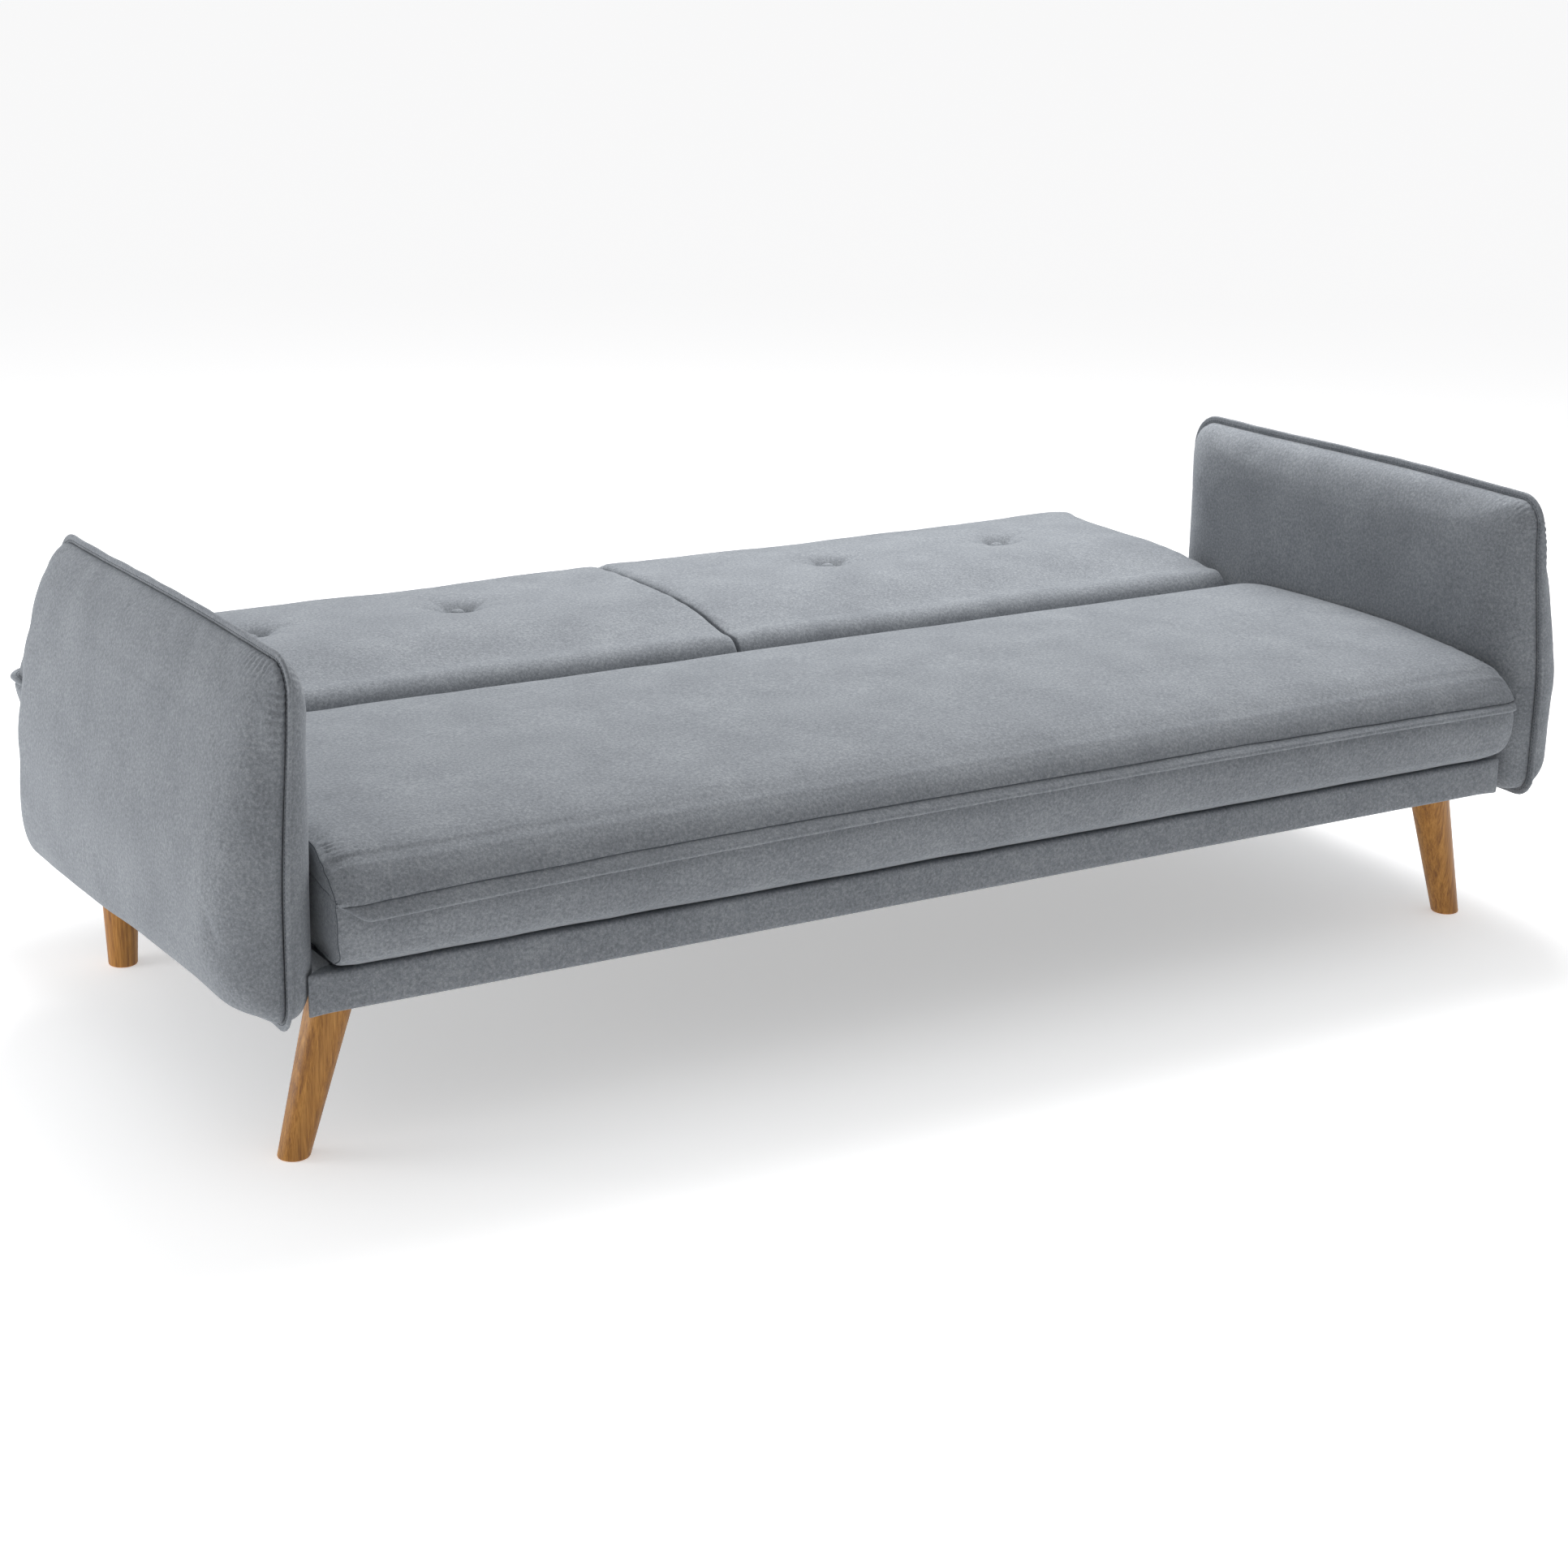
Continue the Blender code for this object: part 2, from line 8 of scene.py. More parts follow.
# %% Load the frame
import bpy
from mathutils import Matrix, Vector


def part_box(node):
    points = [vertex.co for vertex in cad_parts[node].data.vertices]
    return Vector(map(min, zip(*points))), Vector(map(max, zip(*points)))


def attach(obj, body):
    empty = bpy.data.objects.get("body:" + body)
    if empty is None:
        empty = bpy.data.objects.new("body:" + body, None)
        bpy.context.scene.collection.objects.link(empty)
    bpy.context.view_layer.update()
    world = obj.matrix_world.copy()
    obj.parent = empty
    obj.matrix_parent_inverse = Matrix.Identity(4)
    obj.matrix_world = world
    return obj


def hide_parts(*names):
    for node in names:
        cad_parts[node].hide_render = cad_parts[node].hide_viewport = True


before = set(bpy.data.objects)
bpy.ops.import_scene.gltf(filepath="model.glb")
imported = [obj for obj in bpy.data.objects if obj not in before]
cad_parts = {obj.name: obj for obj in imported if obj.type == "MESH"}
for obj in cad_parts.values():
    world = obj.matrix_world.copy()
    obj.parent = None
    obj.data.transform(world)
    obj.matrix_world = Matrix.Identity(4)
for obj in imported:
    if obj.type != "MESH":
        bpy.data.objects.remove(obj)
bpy.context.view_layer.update()  # the imported solids now stand in world space

# %% Tools used throughout
import math

import bmesh
import bpy
import numpy as np
from mathutils import Matrix, Vector, kdtree, noise
from mathutils.bvhtree import BVHTree

MM = 0.001
scene = bpy.context.scene


def link(name, data):
    obj = bpy.data.objects.new(name, data)
    scene.collection.objects.link(obj)
    return obj


# %% [markdown]
# ## The camera
# A long lens from a standing height shows the bed from its left front corner. The turn is built from
# three angles: yaw about the vertical, pitch down towards the bed and a slight roll.

# %% Camera
CAMERA_PLACE = (-2.267, -3.7905, 1.613)
CAMERA_YAW, CAMERA_PITCH, CAMERA_ROLL = (math.radians(a) for a in (31.308, 17.604, 1.134))
camera = link("camera", bpy.data.cameras.new("camera"))
camera.data.lens = 71.27
camera.data.sensor_width = 36.0
flat = Vector((math.sin(CAMERA_YAW), math.cos(CAMERA_YAW), 0)) * math.cos(CAMERA_PITCH)
forward = flat - Vector((0, 0, math.sin(CAMERA_PITCH)))
right = Vector((math.cos(CAMERA_YAW), -math.sin(CAMERA_YAW), 0))
up = right.cross(forward)
rolled_right = right * math.cos(CAMERA_ROLL) + up * math.sin(CAMERA_ROLL)
rolled_up = up * math.cos(CAMERA_ROLL) - right * math.sin(CAMERA_ROLL)
turn = Matrix((rolled_right, rolled_up, -forward)).transposed()
camera.matrix_world = Matrix.Translation(CAMERA_PLACE) @ turn.to_4x4()
scene.camera = camera
print("camera looks along", [round(v, 3) for v in forward])

# %% [markdown]
# ## Colours and shader nodes
# Colours are written as the sRGB hex values that a maker's swatch card would give. Shaders work in
# linear light, so one function converts them. One more function adds a node, sets it and wires it,
# which keeps each material short enough to read in one go.


# %% Colour and node helpers
def linear(swatch):
    parts = [int(swatch[i : i + 2], 16) / 255 for i in (1, 3, 5)]
    return tuple(p / 12.92 if p <= 0.04045 else ((p + 0.055) / 1.055) ** 2.4 for p in parts) + (1.0,)


def add(tree, kind, settings=None, **inputs):
    """A node of that kind, with settings on it and values or links on its inputs, by name or as i0, i1."""
    node = tree.nodes.new(kind)
    for key, value in (settings or {}).items():
        setattr(node, key, value)
    for key, value in inputs.items():
        numbered = key[0] == "i" and key[1:].isdigit()
        socket = node.inputs[int(key[1:])] if numbered else node.inputs[key.replace("_", " ")]
        if isinstance(value, bpy.types.NodeSocket):
            tree.links.new(value, socket)
        else:
            socket.default_value = value
    return node


def new_material(name):
    """A material with a bare Principled shader: (material, tree, shader)."""
    material = bpy.data.materials.new(name)
    material.use_nodes = True
    return material, material.node_tree, material.node_tree.nodes["Principled BSDF"]


def ramp(tree, factor, *stops):
    """A colour ramp through (position, swatch) stops."""
    node = add(tree, "ShaderNodeValToRGB", Fac=factor)
    elements = node.color_ramp.elements
    while len(elements) < len(stops):
        elements.new(0.5)
    for element, (position, swatch) in zip(elements, stops):
        element.position = position
        element.color = linear(swatch)
    return node.outputs["Color"]


# %% [markdown]
# ## Felted wool-look fabric
# The cover is a brushed polyester felt: short fibres of several blue greys matted together, so the
# colour is a fine mottle and not a weave, and the nap catches light at grazing angles. The fibre
# clumps are about 4 mm across, single fibres well under 1 mm. Fibres that fine would vanish in the
# picture, so the finest layer is drawn at 1.6 mm. Nap is sheen, and the matted surface is bump.

# %% Felt
FELT_CLUMP = 4 * MM
FELT_FIBRE = 1.6 * MM
FELT_WASH = 90 * MM  # faint cloudiness from handling


def felt_material(name, dark, mid, light):
    material, tree, shader = new_material(name)
    place = add(tree, "ShaderNodeTexCoord").outputs["Object"]
    clump = add(tree, "ShaderNodeTexNoise", Vector=place, Scale=1 / FELT_CLUMP, Detail=3.0, Roughness=0.6)
    fibre = add(tree, "ShaderNodeTexNoise", Vector=place, Scale=1 / FELT_FIBRE, Detail=2.0, Roughness=0.7)
    wash = add(tree, "ShaderNodeTexNoise", Vector=place, Scale=1 / FELT_WASH, Detail=2.0)
    mixing = {"data_type": "FLOAT"}
    both = add(tree, "ShaderNodeMix", mixing, Factor=0.4, i2=clump.outputs["Fac"], i3=fibre.outputs["Fac"])
    whole = add(tree, "ShaderNodeMix", mixing, Factor=0.16, i2=both.outputs[0], i3=wash.outputs["Fac"])
    colour = ramp(tree, whole.outputs[0], (0.37, dark), (0.50, mid), (0.63, light))
    tree.links.new(colour, shader.inputs["Base Color"])
    bump = add(tree, "ShaderNodeBump", Strength=0.45, Distance=0.5 * MM, Height=both.outputs[0])
    tree.links.new(bump.outputs["Normal"], shader.inputs["Normal"])
    shader.inputs["Roughness"].default_value = 0.92
    shader.inputs["Specular IOR Level"].default_value = 0.25
    shader.inputs["Sheen Weight"].default_value = 0.25
    shader.inputs["Sheen Roughness"].default_value = 0.55
    shader.inputs["Sheen Tint"].default_value = linear("#DCE2EA")
    return material


FELT = felt_material("blue_grey_felt", "#6D7176", "#81858A", "#979B9F")
# Dark thread for the stitches. The same material makes the dark cords that paint the shade in the seam
# grooves.
THREAD_AND_CREASE_SHADE, _, thread_and_shade_shader = new_material("blue_grey_thread_and_crease_shade")
thread_and_shade_shader.inputs["Base Color"].default_value = linear("#4C5258")
thread_and_shade_shader.inputs["Roughness"].default_value = 0.7
print("materials:", FELT.name, THREAD_AND_CREASE_SHADE.name)

# %% [markdown]
# ## Oiled oak-toned hardwood, plain timber, zinc and cloth
# The legs are turned hardwood under oil: golden, with brown streaks that run down the leg and a soft
# gloss. The grain is noise stretched along the leg: streaks 2 mm wide and about 60 mm long. The hidden
# frame is sawn softwood, paler and without gloss. Hinges and bolts are zinc-plated steel, with a faint
# spangle. The dust cloth is black spunbonded polypropylene, dotted where the fibres are heat-bonded
# every 2 mm.


# %% Wood, steel and dust cloth
def wood_material(name, dark, mid, light, roughness, streak, turn_x=0.0, turn_y=0.0):
    """Streaks that run along Z, or along another axis after a turn."""
    material, tree, shader = new_material(name)
    place = add(tree, "ShaderNodeTexCoord").outputs["Object"]
    grain = (1 / streak, 1 / streak, 1 / (30 * streak))
    stretched = add(tree, "ShaderNodeMapping", Vector=place, Rotation=(turn_x, turn_y, 0.0), Scale=grain)
    stretch = stretched.outputs["Vector"]
    figure = add(tree, "ShaderNodeTexNoise", Vector=stretch, Scale=0.35, Detail=4.0, Distortion=0.6)
    pores = add(tree, "ShaderNodeTexNoise", Vector=stretch, Scale=1.6, Detail=3.0, Roughness=0.65)
    inputs = {"Factor": 0.45, "i2": figure.outputs["Fac"], "i3": pores.outputs["Fac"]}
    mixed = add(tree, "ShaderNodeMix", {"data_type": "FLOAT"}, **inputs)
    colour = ramp(tree, mixed.outputs[0], (0.34, dark), (0.50, mid), (0.66, light))
    tree.links.new(colour, shader.inputs["Base Color"])
    bump = add(tree, "ShaderNodeBump", Strength=0.2, Distance=0.2 * MM, Height=pores.outputs["Fac"])
    tree.links.new(bump.outputs["Normal"], shader.inputs["Normal"])
    shader.inputs["Roughness"].default_value = roughness
    return material


def celled_material(name, cell, stops, roughness, randomness=1.0):
    """Small cells of colour: the spangle of zinc, or the bonds of a spunbonded sheet."""
    material, tree, shader = new_material(name)
    place = add(tree, "ShaderNodeTexCoord").outputs["Object"]
    cells = add(tree, "ShaderNodeTexVoronoi", Vector=place, Scale=1 / cell, Randomness=randomness)
    tree.links.new(ramp(tree, cells.outputs["Distance"], *stops), shader.inputs["Base Color"])
    shader.inputs["Roughness"].default_value = roughness
    return material, tree, shader, cells.outputs["Distance"]


PINE = ("#A9895C", "#C7A878", "#D9BF93", 0.75, 3 * MM)
LEG_WOOD = wood_material("oiled_hardwood", "#7C4B18", "#AD7429", "#CB9142", 0.42, 2.2 * MM)
TIMBER_X = wood_material("sawn_pine_along_x", *PINE, turn_y=math.pi / 2)
TIMBER_Y = wood_material("sawn_pine_along_y", *PINE, turn_x=math.pi / 2)
ZINC_STOPS = ((0.0, "#B9BDC0"), (1.0, "#9BA0A4"))
ZINC, _, zinc_shader, _ = celled_material("zinc_plated_steel", 6 * MM, ZINC_STOPS, 0.36)
zinc_shader.inputs["Metallic"].default_value = 1.0
CLOTH_STOPS = ((0.1, "#0E0E10"), (0.5, "#1C1C1F"))
SPUNBOND, cloth_tree, cloth_shader, bonds = celled_material("black_spunbond", 2 * MM, CLOTH_STOPS, 0.9, 0.2)
cloth_bump = add(cloth_tree, "ShaderNodeBump", Strength=0.4, Distance=0.2 * MM, Height=bonds)
cloth_tree.links.new(cloth_bump.outputs["Normal"], cloth_shader.inputs["Normal"])
print("materials in the file:", len(bpy.data.materials))

# %% [markdown]
# ## Floor and light
# The bed stands on a pale, faintly glowing floor, as on a light table, which keeps its shadow soft.
# One wide soft box hangs overhead, behind the bed and to the right, and a small one stands low at the
# left and lights the outer arm. The world is a dome that is bright at the top and dim at the horizon,
# so tops read lighter than sides.

# %% Floor and light
FLOOR_SIZE = 60.0
floor_mesh = bpy.data.meshes.new("floor")
corners = [(x * FLOOR_SIZE / 2, y * FLOOR_SIZE / 2, 0.0) for x, y in ((-1, -1), (1, -1), (1, 1), (-1, 1))]
floor_mesh.from_pydata(corners, [], [(0, 1, 2, 3)])
floor = link("floor", floor_mesh)
floor_material, _, floor_shader = new_material("pale_floor")
floor_shader.inputs["Base Color"].default_value = linear("#F6F6F6")
floor_shader.inputs["Roughness"].default_value = 0.9
floor_shader.inputs["Specular IOR Level"].default_value = 0.1
floor_shader.inputs["Emission Color"].default_value = (1.0, 1.0, 1.0, 1.0)
floor_shader.inputs["Emission Strength"].default_value = 0.45
floor_mesh.materials.append(floor_material)

scene.world = bpy.data.worlds.new("studio")
scene.world.use_nodes = True
sky = scene.world.node_tree
heading = add(sky, "ShaderNodeSeparateXYZ", Vector=add(sky, "ShaderNodeTexCoord").outputs["Generated"])
dome = ramp(sky, heading.outputs["Z"], (0.0, "#29292B"), (0.45, "#78787A"), (1.0, "#FFFFFF"))
backdrop = sky.nodes["Background"]
sky.links.new(dome, backdrop.inputs["Color"])
backdrop.inputs["Strength"].default_value = 1.0
scene.view_settings.view_transform = "Standard"


def soft_box(name, place, aim, size, watts):
    data = bpy.data.lights.new(name, "AREA")
    data.shape = "RECTANGLE"
    data.size, data.size_y = size
    data.energy = watts
    lamp = link(name, data)
    lamp.location = place
    lamp.rotation_euler = (Vector(aim) - Vector(place)).to_track_quat("-Z", "Y").to_euler()


soft_box("overhead", (0.8, 1.15, 2.7), (0.1, 0.0, 0.3), (2.4, 1.4), 98.0)
soft_box("left_rear", (-2.6, 0.5, 0.45), (-1.0, 0.0, 0.4), (1.0, 0.7), 14.0)

# %% [markdown]
# ## A closed skin from a few outlines
# A cushion cover is cut from panels, and each panel edge is a line that must stay exact: a seam. So
# each cushion is a row of closed outlines, all with the same number of points, joined by quads, with
# a grid over each end. A voxel remesh would also give even quads, but it would lose the seam lines.


# %% Skin helpers
def smooth_line(points, count):
    """count + 1 points spaced evenly along a smooth curve through a few points."""
    points = np.array(points, float)
    before, after = 2 * points[:1] - points[1:2], 2 * points[-1:] - points[-2:-1]
    knots = np.concatenate([before, points, after])
    t = np.linspace(0, 1, 16, endpoint=False)[:, None]
    fine = []
    for a, b, c, d in zip(knots, knots[1:], knots[2:], knots[3:]):
        start = 2 * b + (c - a) * t + (2 * a - 5 * b + 4 * c - d) * t**2
        fine.append(0.5 * (start + (3 * b - a - 3 * c + d) * t**3))
    fine = np.concatenate(fine + [points[-1:]])
    return even_line(fine, count)


def even_line(points, count):
    """count + 1 points spaced evenly along straight stretches."""
    points = np.array(points, float)
    far = np.concatenate([[0], np.cumsum(np.linalg.norm(np.diff(points, axis=0), axis=1))])
    even = np.linspace(0, far[-1], count + 1)
    return np.stack([np.interp(even, far, points[:, axis]) for axis in range(points.shape[1])], axis=1)


def crowded(line, axis, around, count, reach=0.045):
    """count + 1 points along a line, four times as close together near the given places on one axis."""
    line = np.array(line, float)
    want = 1 + sum(3 * np.exp(-(((line[:, axis] - place) / reach) ** 2)) for place in around)
    step = np.linalg.norm(np.diff(line, axis=0), axis=1) * (want[1:] + want[:-1]) / 2
    far = np.concatenate([[0], np.cumsum(step)])
    even = np.linspace(0, far[-1], count + 1)
    return np.stack([np.interp(even, far, column) for column in line.T], axis=1)


def joined(*stretches):
    """Stretches that start where the one before ends, as one closed outline."""
    return np.concatenate([stretch[:-1] for stretch in stretches])


def at_x(outline, x):
    return np.column_stack([np.full(len(outline), x), outline])


def ring_faces(count, rings, closed=False):
    """Quads between rings of count points, and from the last ring to the first if closed."""
    faces = []
    for k in range(rings if closed else rings - 1):
        for i in range(count):
            j, n = (i + 1) % count, (k + 1) % rings
            faces.append((k * count + i, k * count + j, n * count + j, n * count + i))
    return faces


def skin(loops, rows, columns, crowns=(0.0, 0.0)):
    """Places and quads of a closed skin. Each end is a grid, raised along X by its crown."""
    count = len(loops[0])
    places = [p for loop in loops for p in loop]
    faces = ring_faces(count, len(loops))
    for end, crown in zip((0, len(loops) - 1), crowns):
        loop, grid = loops[end], {}
        for i in range(rows + 1):
            for j in range(columns + 1):
                around = edge_index(i, j, rows, columns)
                if around is not None:
                    grid[i, j] = end * count + around
                    continue
                u, v = i / rows, j / columns
                across = (1 - v) * loop[i] + v * loop[2 * rows + columns - i]
                along = (1 - u) * loop[count - j] + u * loop[rows + j]
                low = (1 - u) * loop[0] + u * loop[rows]
                high = (1 - u) * loop[2 * rows + columns] + u * loop[rows + columns]
                lift = crown * (math.sin(math.pi * u) * math.sin(math.pi * v)) ** 0.5
                places.append(across + along - (1 - v) * low - v * high + np.array((lift, 0, 0)))
                grid[i, j] = len(places) - 1
        for i in range(rows):
            for j in range(columns):
                faces.append((grid[i, j], grid[i + 1, j], grid[i + 1, j + 1], grid[i, j + 1]))
    return np.array(places), faces


def edge_index(i, j, rows, columns):
    """Where a grid corner lies along its outline, or None inside it."""
    if j == 0:
        return i
    if i == rows:
        return rows + j
    if j == columns:
        return 2 * rows + columns - i
    if i == 0:
        return 2 * (rows + columns) - j
    return None


def solid(name, places, faces):
    """A smooth object with its faces turned outwards."""
    mesh = bpy.data.meshes.new(name)
    mesh.from_pydata([tuple(p) for p in places], [], faces)
    bm = bmesh.new()
    bm.from_mesh(mesh)
    bmesh.ops.recalc_face_normals(bm, faces=bm.faces)
    bm.to_mesh(mesh)
    bm.free()
    mesh.shade_smooth()
    return link(name, mesh)


def places_of(mesh):
    flat_list = np.empty(len(mesh.vertices) * 3)
    mesh.vertices.foreach_get("co", flat_list)
    return flat_list.reshape(-1, 3)


def outward_of(mesh):
    flat_list = np.empty(len(mesh.vertices) * 3)
    mesh.vertex_normals.foreach_get("vector", flat_list)
    return flat_list.reshape(-1, 3)


def set_places(mesh, places):
    mesh.vertices.foreach_set("co", places.reshape(-1))
    mesh.update()


# %% [markdown]
# ## Filling a cover
# Foam pushes a sewn cover outwards, and the cover only gives way between its seams. Blender's cloth
# does the same: seam points are pinned, the rest gets a little spare cloth and air pressure, and
# nothing falls because gravity is off. Twenty frames are enough. The movement is capped so that the
# cushion keeps its size, and the result is applied, so that no simulation is left on the piece.

# %% Filling
FRAMES = 20
PRESSURE = 4.0
CLOTH_SHARE = 0.3  # how much of the simulated movement is kept
SLACK_SHARE = 0.8  # how far in the cover starts, as a share of the cap
SLACK_REACH = 30 * MM  # away from a seam, the cover starts slack


def filled(places, faces, sewn, cap, spare=0.02):
    """The places after the cover is filled. It starts a little slack and swells back by at most cap.

    The foam inside holds most of the shape, so only a share of what the cloth does is kept.
    """
    obj = solid("cover", places, faces)
    tree = kdtree.KDTree(len(sewn))
    for i in sewn:
        tree.insert(places[i], int(i))
    tree.balance()
    slack = np.array([min(1.0, tree.find(p)[2] / SLACK_REACH) for p in places])
    start = places - outward_of(obj.data) * (slack * cap * SLACK_SHARE)[:, None]
    set_places(obj.data, start)
    group = obj.vertex_groups.new(name="sewn")
    group.add([int(i) for i in sewn], 1.0, "REPLACE")
    cloth = obj.modifiers.new("cover", "CLOTH")
    cloth.point_cache.frame_start, cloth.point_cache.frame_end = 1, FRAMES
    settings = cloth.settings
    settings.quality = 5
    settings.mass = 0.3
    settings.tension_stiffness = settings.compression_stiffness = 12
    settings.shear_stiffness = 6
    settings.bending_stiffness = 0.6
    settings.use_pressure = True
    settings.uniform_pressure_force = PRESSURE
    settings.vertex_group_mass = "sewn"
    settings.shrink_min = -spare
    settings.effector_weights.gravity = 0
    for number in range(1, FRAMES + 1):
        scene.frame_set(number)
    evaluated = obj.evaluated_get(bpy.context.evaluated_depsgraph_get())
    moved = places_of(evaluated.data) - start
    far = np.linalg.norm(moved, axis=1)
    moved *= np.minimum(1.0, cap / np.maximum(far, 1e-9))[:, None]
    scene.frame_set(1)
    bpy.data.objects.remove(obj, do_unlink=True)
    print(f"  filled {len(places)} points, moved {np.median(far) / MM:.1f} mm, cap {cap / MM:.0f} mm")
    return places + (start + moved - places) * CLOTH_SHARE


def subdivided(obj, seams=()):
    """One level of subdivision, applied. A seam is a run of point numbers whose edges stay sharp."""
    sharp = {frozenset(pair) for seam in seams for pair in zip(seam, seam[1:])}
    if sharp:
        crease = obj.data.attributes.new("crease_edge", "FLOAT", "EDGE")
        crease.data.foreach_set("value", [float(frozenset(e.vertices) in sharp) for e in obj.data.edges])
    modifier = obj.modifiers.new("soften", "SUBSURF")
    modifier.levels = modifier.render_levels = 1
    evaluated = obj.evaluated_get(bpy.context.evaluated_depsgraph_get())
    mesh = bpy.data.meshes.new_from_object(evaluated)
    obj.modifiers.clear()
    old = obj.data
    obj.data = mesh
    bpy.data.meshes.remove(old)
    mesh.name = obj.name
    mesh.shade_smooth()
    return obj


def beside(path, places):
    """For each place, how far along a path its nearest point is, and how far away that is."""
    path = np.array(path, float)
    far = np.concatenate([[0], np.cumsum(np.linalg.norm(np.diff(path, axis=0), axis=1))])
    tree = kdtree.KDTree(len(path))
    for i, p in enumerate(path):
        tree.insert(p, i)
    tree.balance()
    found = [tree.find(p) for p in places]
    return np.array([far[f[1]] for f in found]), np.array([f[2] for f in found])


def fade(distance, reach):
    """From 0 to 1 over a distance, easing at both ends."""
    t = np.clip(distance / reach, 0, 1)
    return t * t * (3 - 2 * t)


def swell(places, size, seed):
    """Smooth noise from -1 to 1 at each place, with bumps about size across."""
    shift = Vector((seed * 7.3, seed * 3.1, seed * 5.7))
    return np.array([noise.noise(Vector(p) / size + shift) for p in places])


def finished(obj, body, slot, material, *nodes, fill=None):
    """Gives a piece its material and its body, and hides the solids that it stands for. slot is not used."""
    obj.data.materials.clear()
    obj.data.materials.append(material)
    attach(obj, body)
    if nodes:
        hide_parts(*nodes)
    print(f"{obj.name}: {len(obj.data.polygons)} faces on {body}")
    return obj


# %% [markdown]
# ## Flat welts
# Where two panels meet, the maker leaves the seam allowance outside, folded into a flat double strip
# about 14 mm wide. A round piping cord would look different: this welt is thin, soft-edged and a bit
# wavy. It is a small section carried along the seam, so its width can taper off at an open end.


# %% Welt
def welt(name, path, outward, width, thick, closed=False, wave=0.6 * MM, seed=1, tuck=5 * MM):
    """A flat strip standing out from a path. width is one number, or one for each point."""
    path, outward = np.array(path, float), np.array(outward, float)
    widths = np.broadcast_to(width, len(path))
    ahead = np.roll(path, -1, axis=0) - np.roll(path, 1, axis=0)
    if not closed:
        ahead[0], ahead[-1] = path[1] - path[0], path[-1] - path[-2]
    side = np.cross(ahead, outward)
    side /= np.linalg.norm(side, axis=1)[:, None]
    rounding = [math.radians(a) for a in range(-90, 91, 30)]
    loops = []
    for number, (p, out, across, w) in enumerate(zip(path, outward, side, widths)):
        lean = wave * noise.noise(Vector(p) / 0.06 + Vector((seed * 4.1, 0, 0)))
        half = thick / 2 * min(1.0, w / (0.5 * np.max(widths)) + 0.15)
        reach = w + 0.5 * wave * noise.noise(Vector(p) / 0.045 + Vector((0, seed * 2.7, 0)))
        section = [(-tuck, -half * 0.8), (max(reach, 0) * 0.25, -half * 0.75)]
        section += [(max(reach - half, 0) + half * math.cos(a), half * math.sin(a)) for a in rounding]
        section += [(max(reach, 0) * 0.25, half * 0.75), (-tuck, half * 0.8)]
        loops.append([p + out * a + across * (b + lean * max(a, 0) / np.max(widths)) for a, b in section])
    count, sections = len(loops[0]), len(loops)
    faces = ring_faces(count, sections, closed)
    if not closed:
        faces += [tuple(range(count))[::-1], tuple(range((sections - 1) * count, sections * count))]
    return solid(name, [p for loop in loops for p in loop], faces)


# %% [markdown]
# ## The seat
# One long foam cushion under one cover. The top panel rolls over the nose to a welt about two thirds
# of the way up, and below it a second panel tucks in over the front rail. Each end is a D-shaped gusset
# set in with a row of stitches. It is a little smaller than the cushion, so the panels round over
# towards it and gather beside it. The outline is drawn once, and eased in near the ends.

# %% Seat outline and skin
seat_low, seat_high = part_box("seat_cushion")
SEAT_ROWS, SEAT_COLUMNS, SEAT_WELT_INDEX = 54, 24, 14
SEAT_END_ROUNDING = 30 * MM  # how far from the end it starts to ease in
SEAT_END_EASE = 8 * MM  # how far the end seam lies inside the main outline
SEAT_END_GROOVE = 2.5 * MM  # and how much deeper the seam itself is drawn in
NOSE_SPREAD = 11 * MM  # the nose is free of the arms and swells past them
LOWER_SPREAD = (4 * MM, -6 * MM)  # the same at the underside, left and right
TOP_SPREAD = 5 * MM  # elsewhere the ends only fill the gap beside the arms
END_REACH = 90 * MM  # over which the ends spread
SEAT_WELT_RISE = 99  # mm above the underside
GUSSET_CROWN = 4 * MM
SEAT_WELT_WIDTH = 22 * MM  # from the seam, which lies in a groove


def from_nose(*points):
    """Points in mm behind the seat's nose and above its underside, in metres."""
    return [(seat_low.y + y * MM, seat_low.z + z * MM) for y, z in points]


seat_side = joined(
    smooth_line(from_nose((40, 1), (200, 1), (450, 1), (656, 1)), SEAT_ROWS),
    smooth_line(from_nose((656, 1), (657, 55), (655, 105), (643, 129)), SEAT_COLUMNS),
    crowded(
        smooth_line(
            from_nose((643, 129), (628, 138), (606, 146), (560, 151), (440, 156), (300, 158))
            + from_nose((200, 157), (125, 154), (72, 147), (32, 133)),
            400,
        ),
        0,
        [seat_low.y + 55 * MM],
        SEAT_ROWS,
    ),
    smooth_line(
        from_nose((32, 133), (13, 119), (4, 108), (2, SEAT_WELT_RISE + 4), (6, SEAT_WELT_RISE)),
        SEAT_COLUMNS - SEAT_WELT_INDEX,
    ),
    smooth_line(
        from_nose((6, SEAT_WELT_RISE), (4, 91), (2, 80), (2, 60), (6, 38), (14, 17), (40, 1)),
        SEAT_WELT_INDEX,
    ),
)
seat_count = len(seat_side)
seat_welt_point = seat_count - SEAT_WELT_INDEX


def eased(outline, ease):
    """An outline moved inwards by ease."""
    ahead = np.roll(outline, -1, axis=0) - np.roll(outline, 1, axis=0)
    inward = np.column_stack([-ahead[:, 1], ahead[:, 0]])
    inward /= np.linalg.norm(inward, axis=1)[:, None]
    return outline + inward * ease


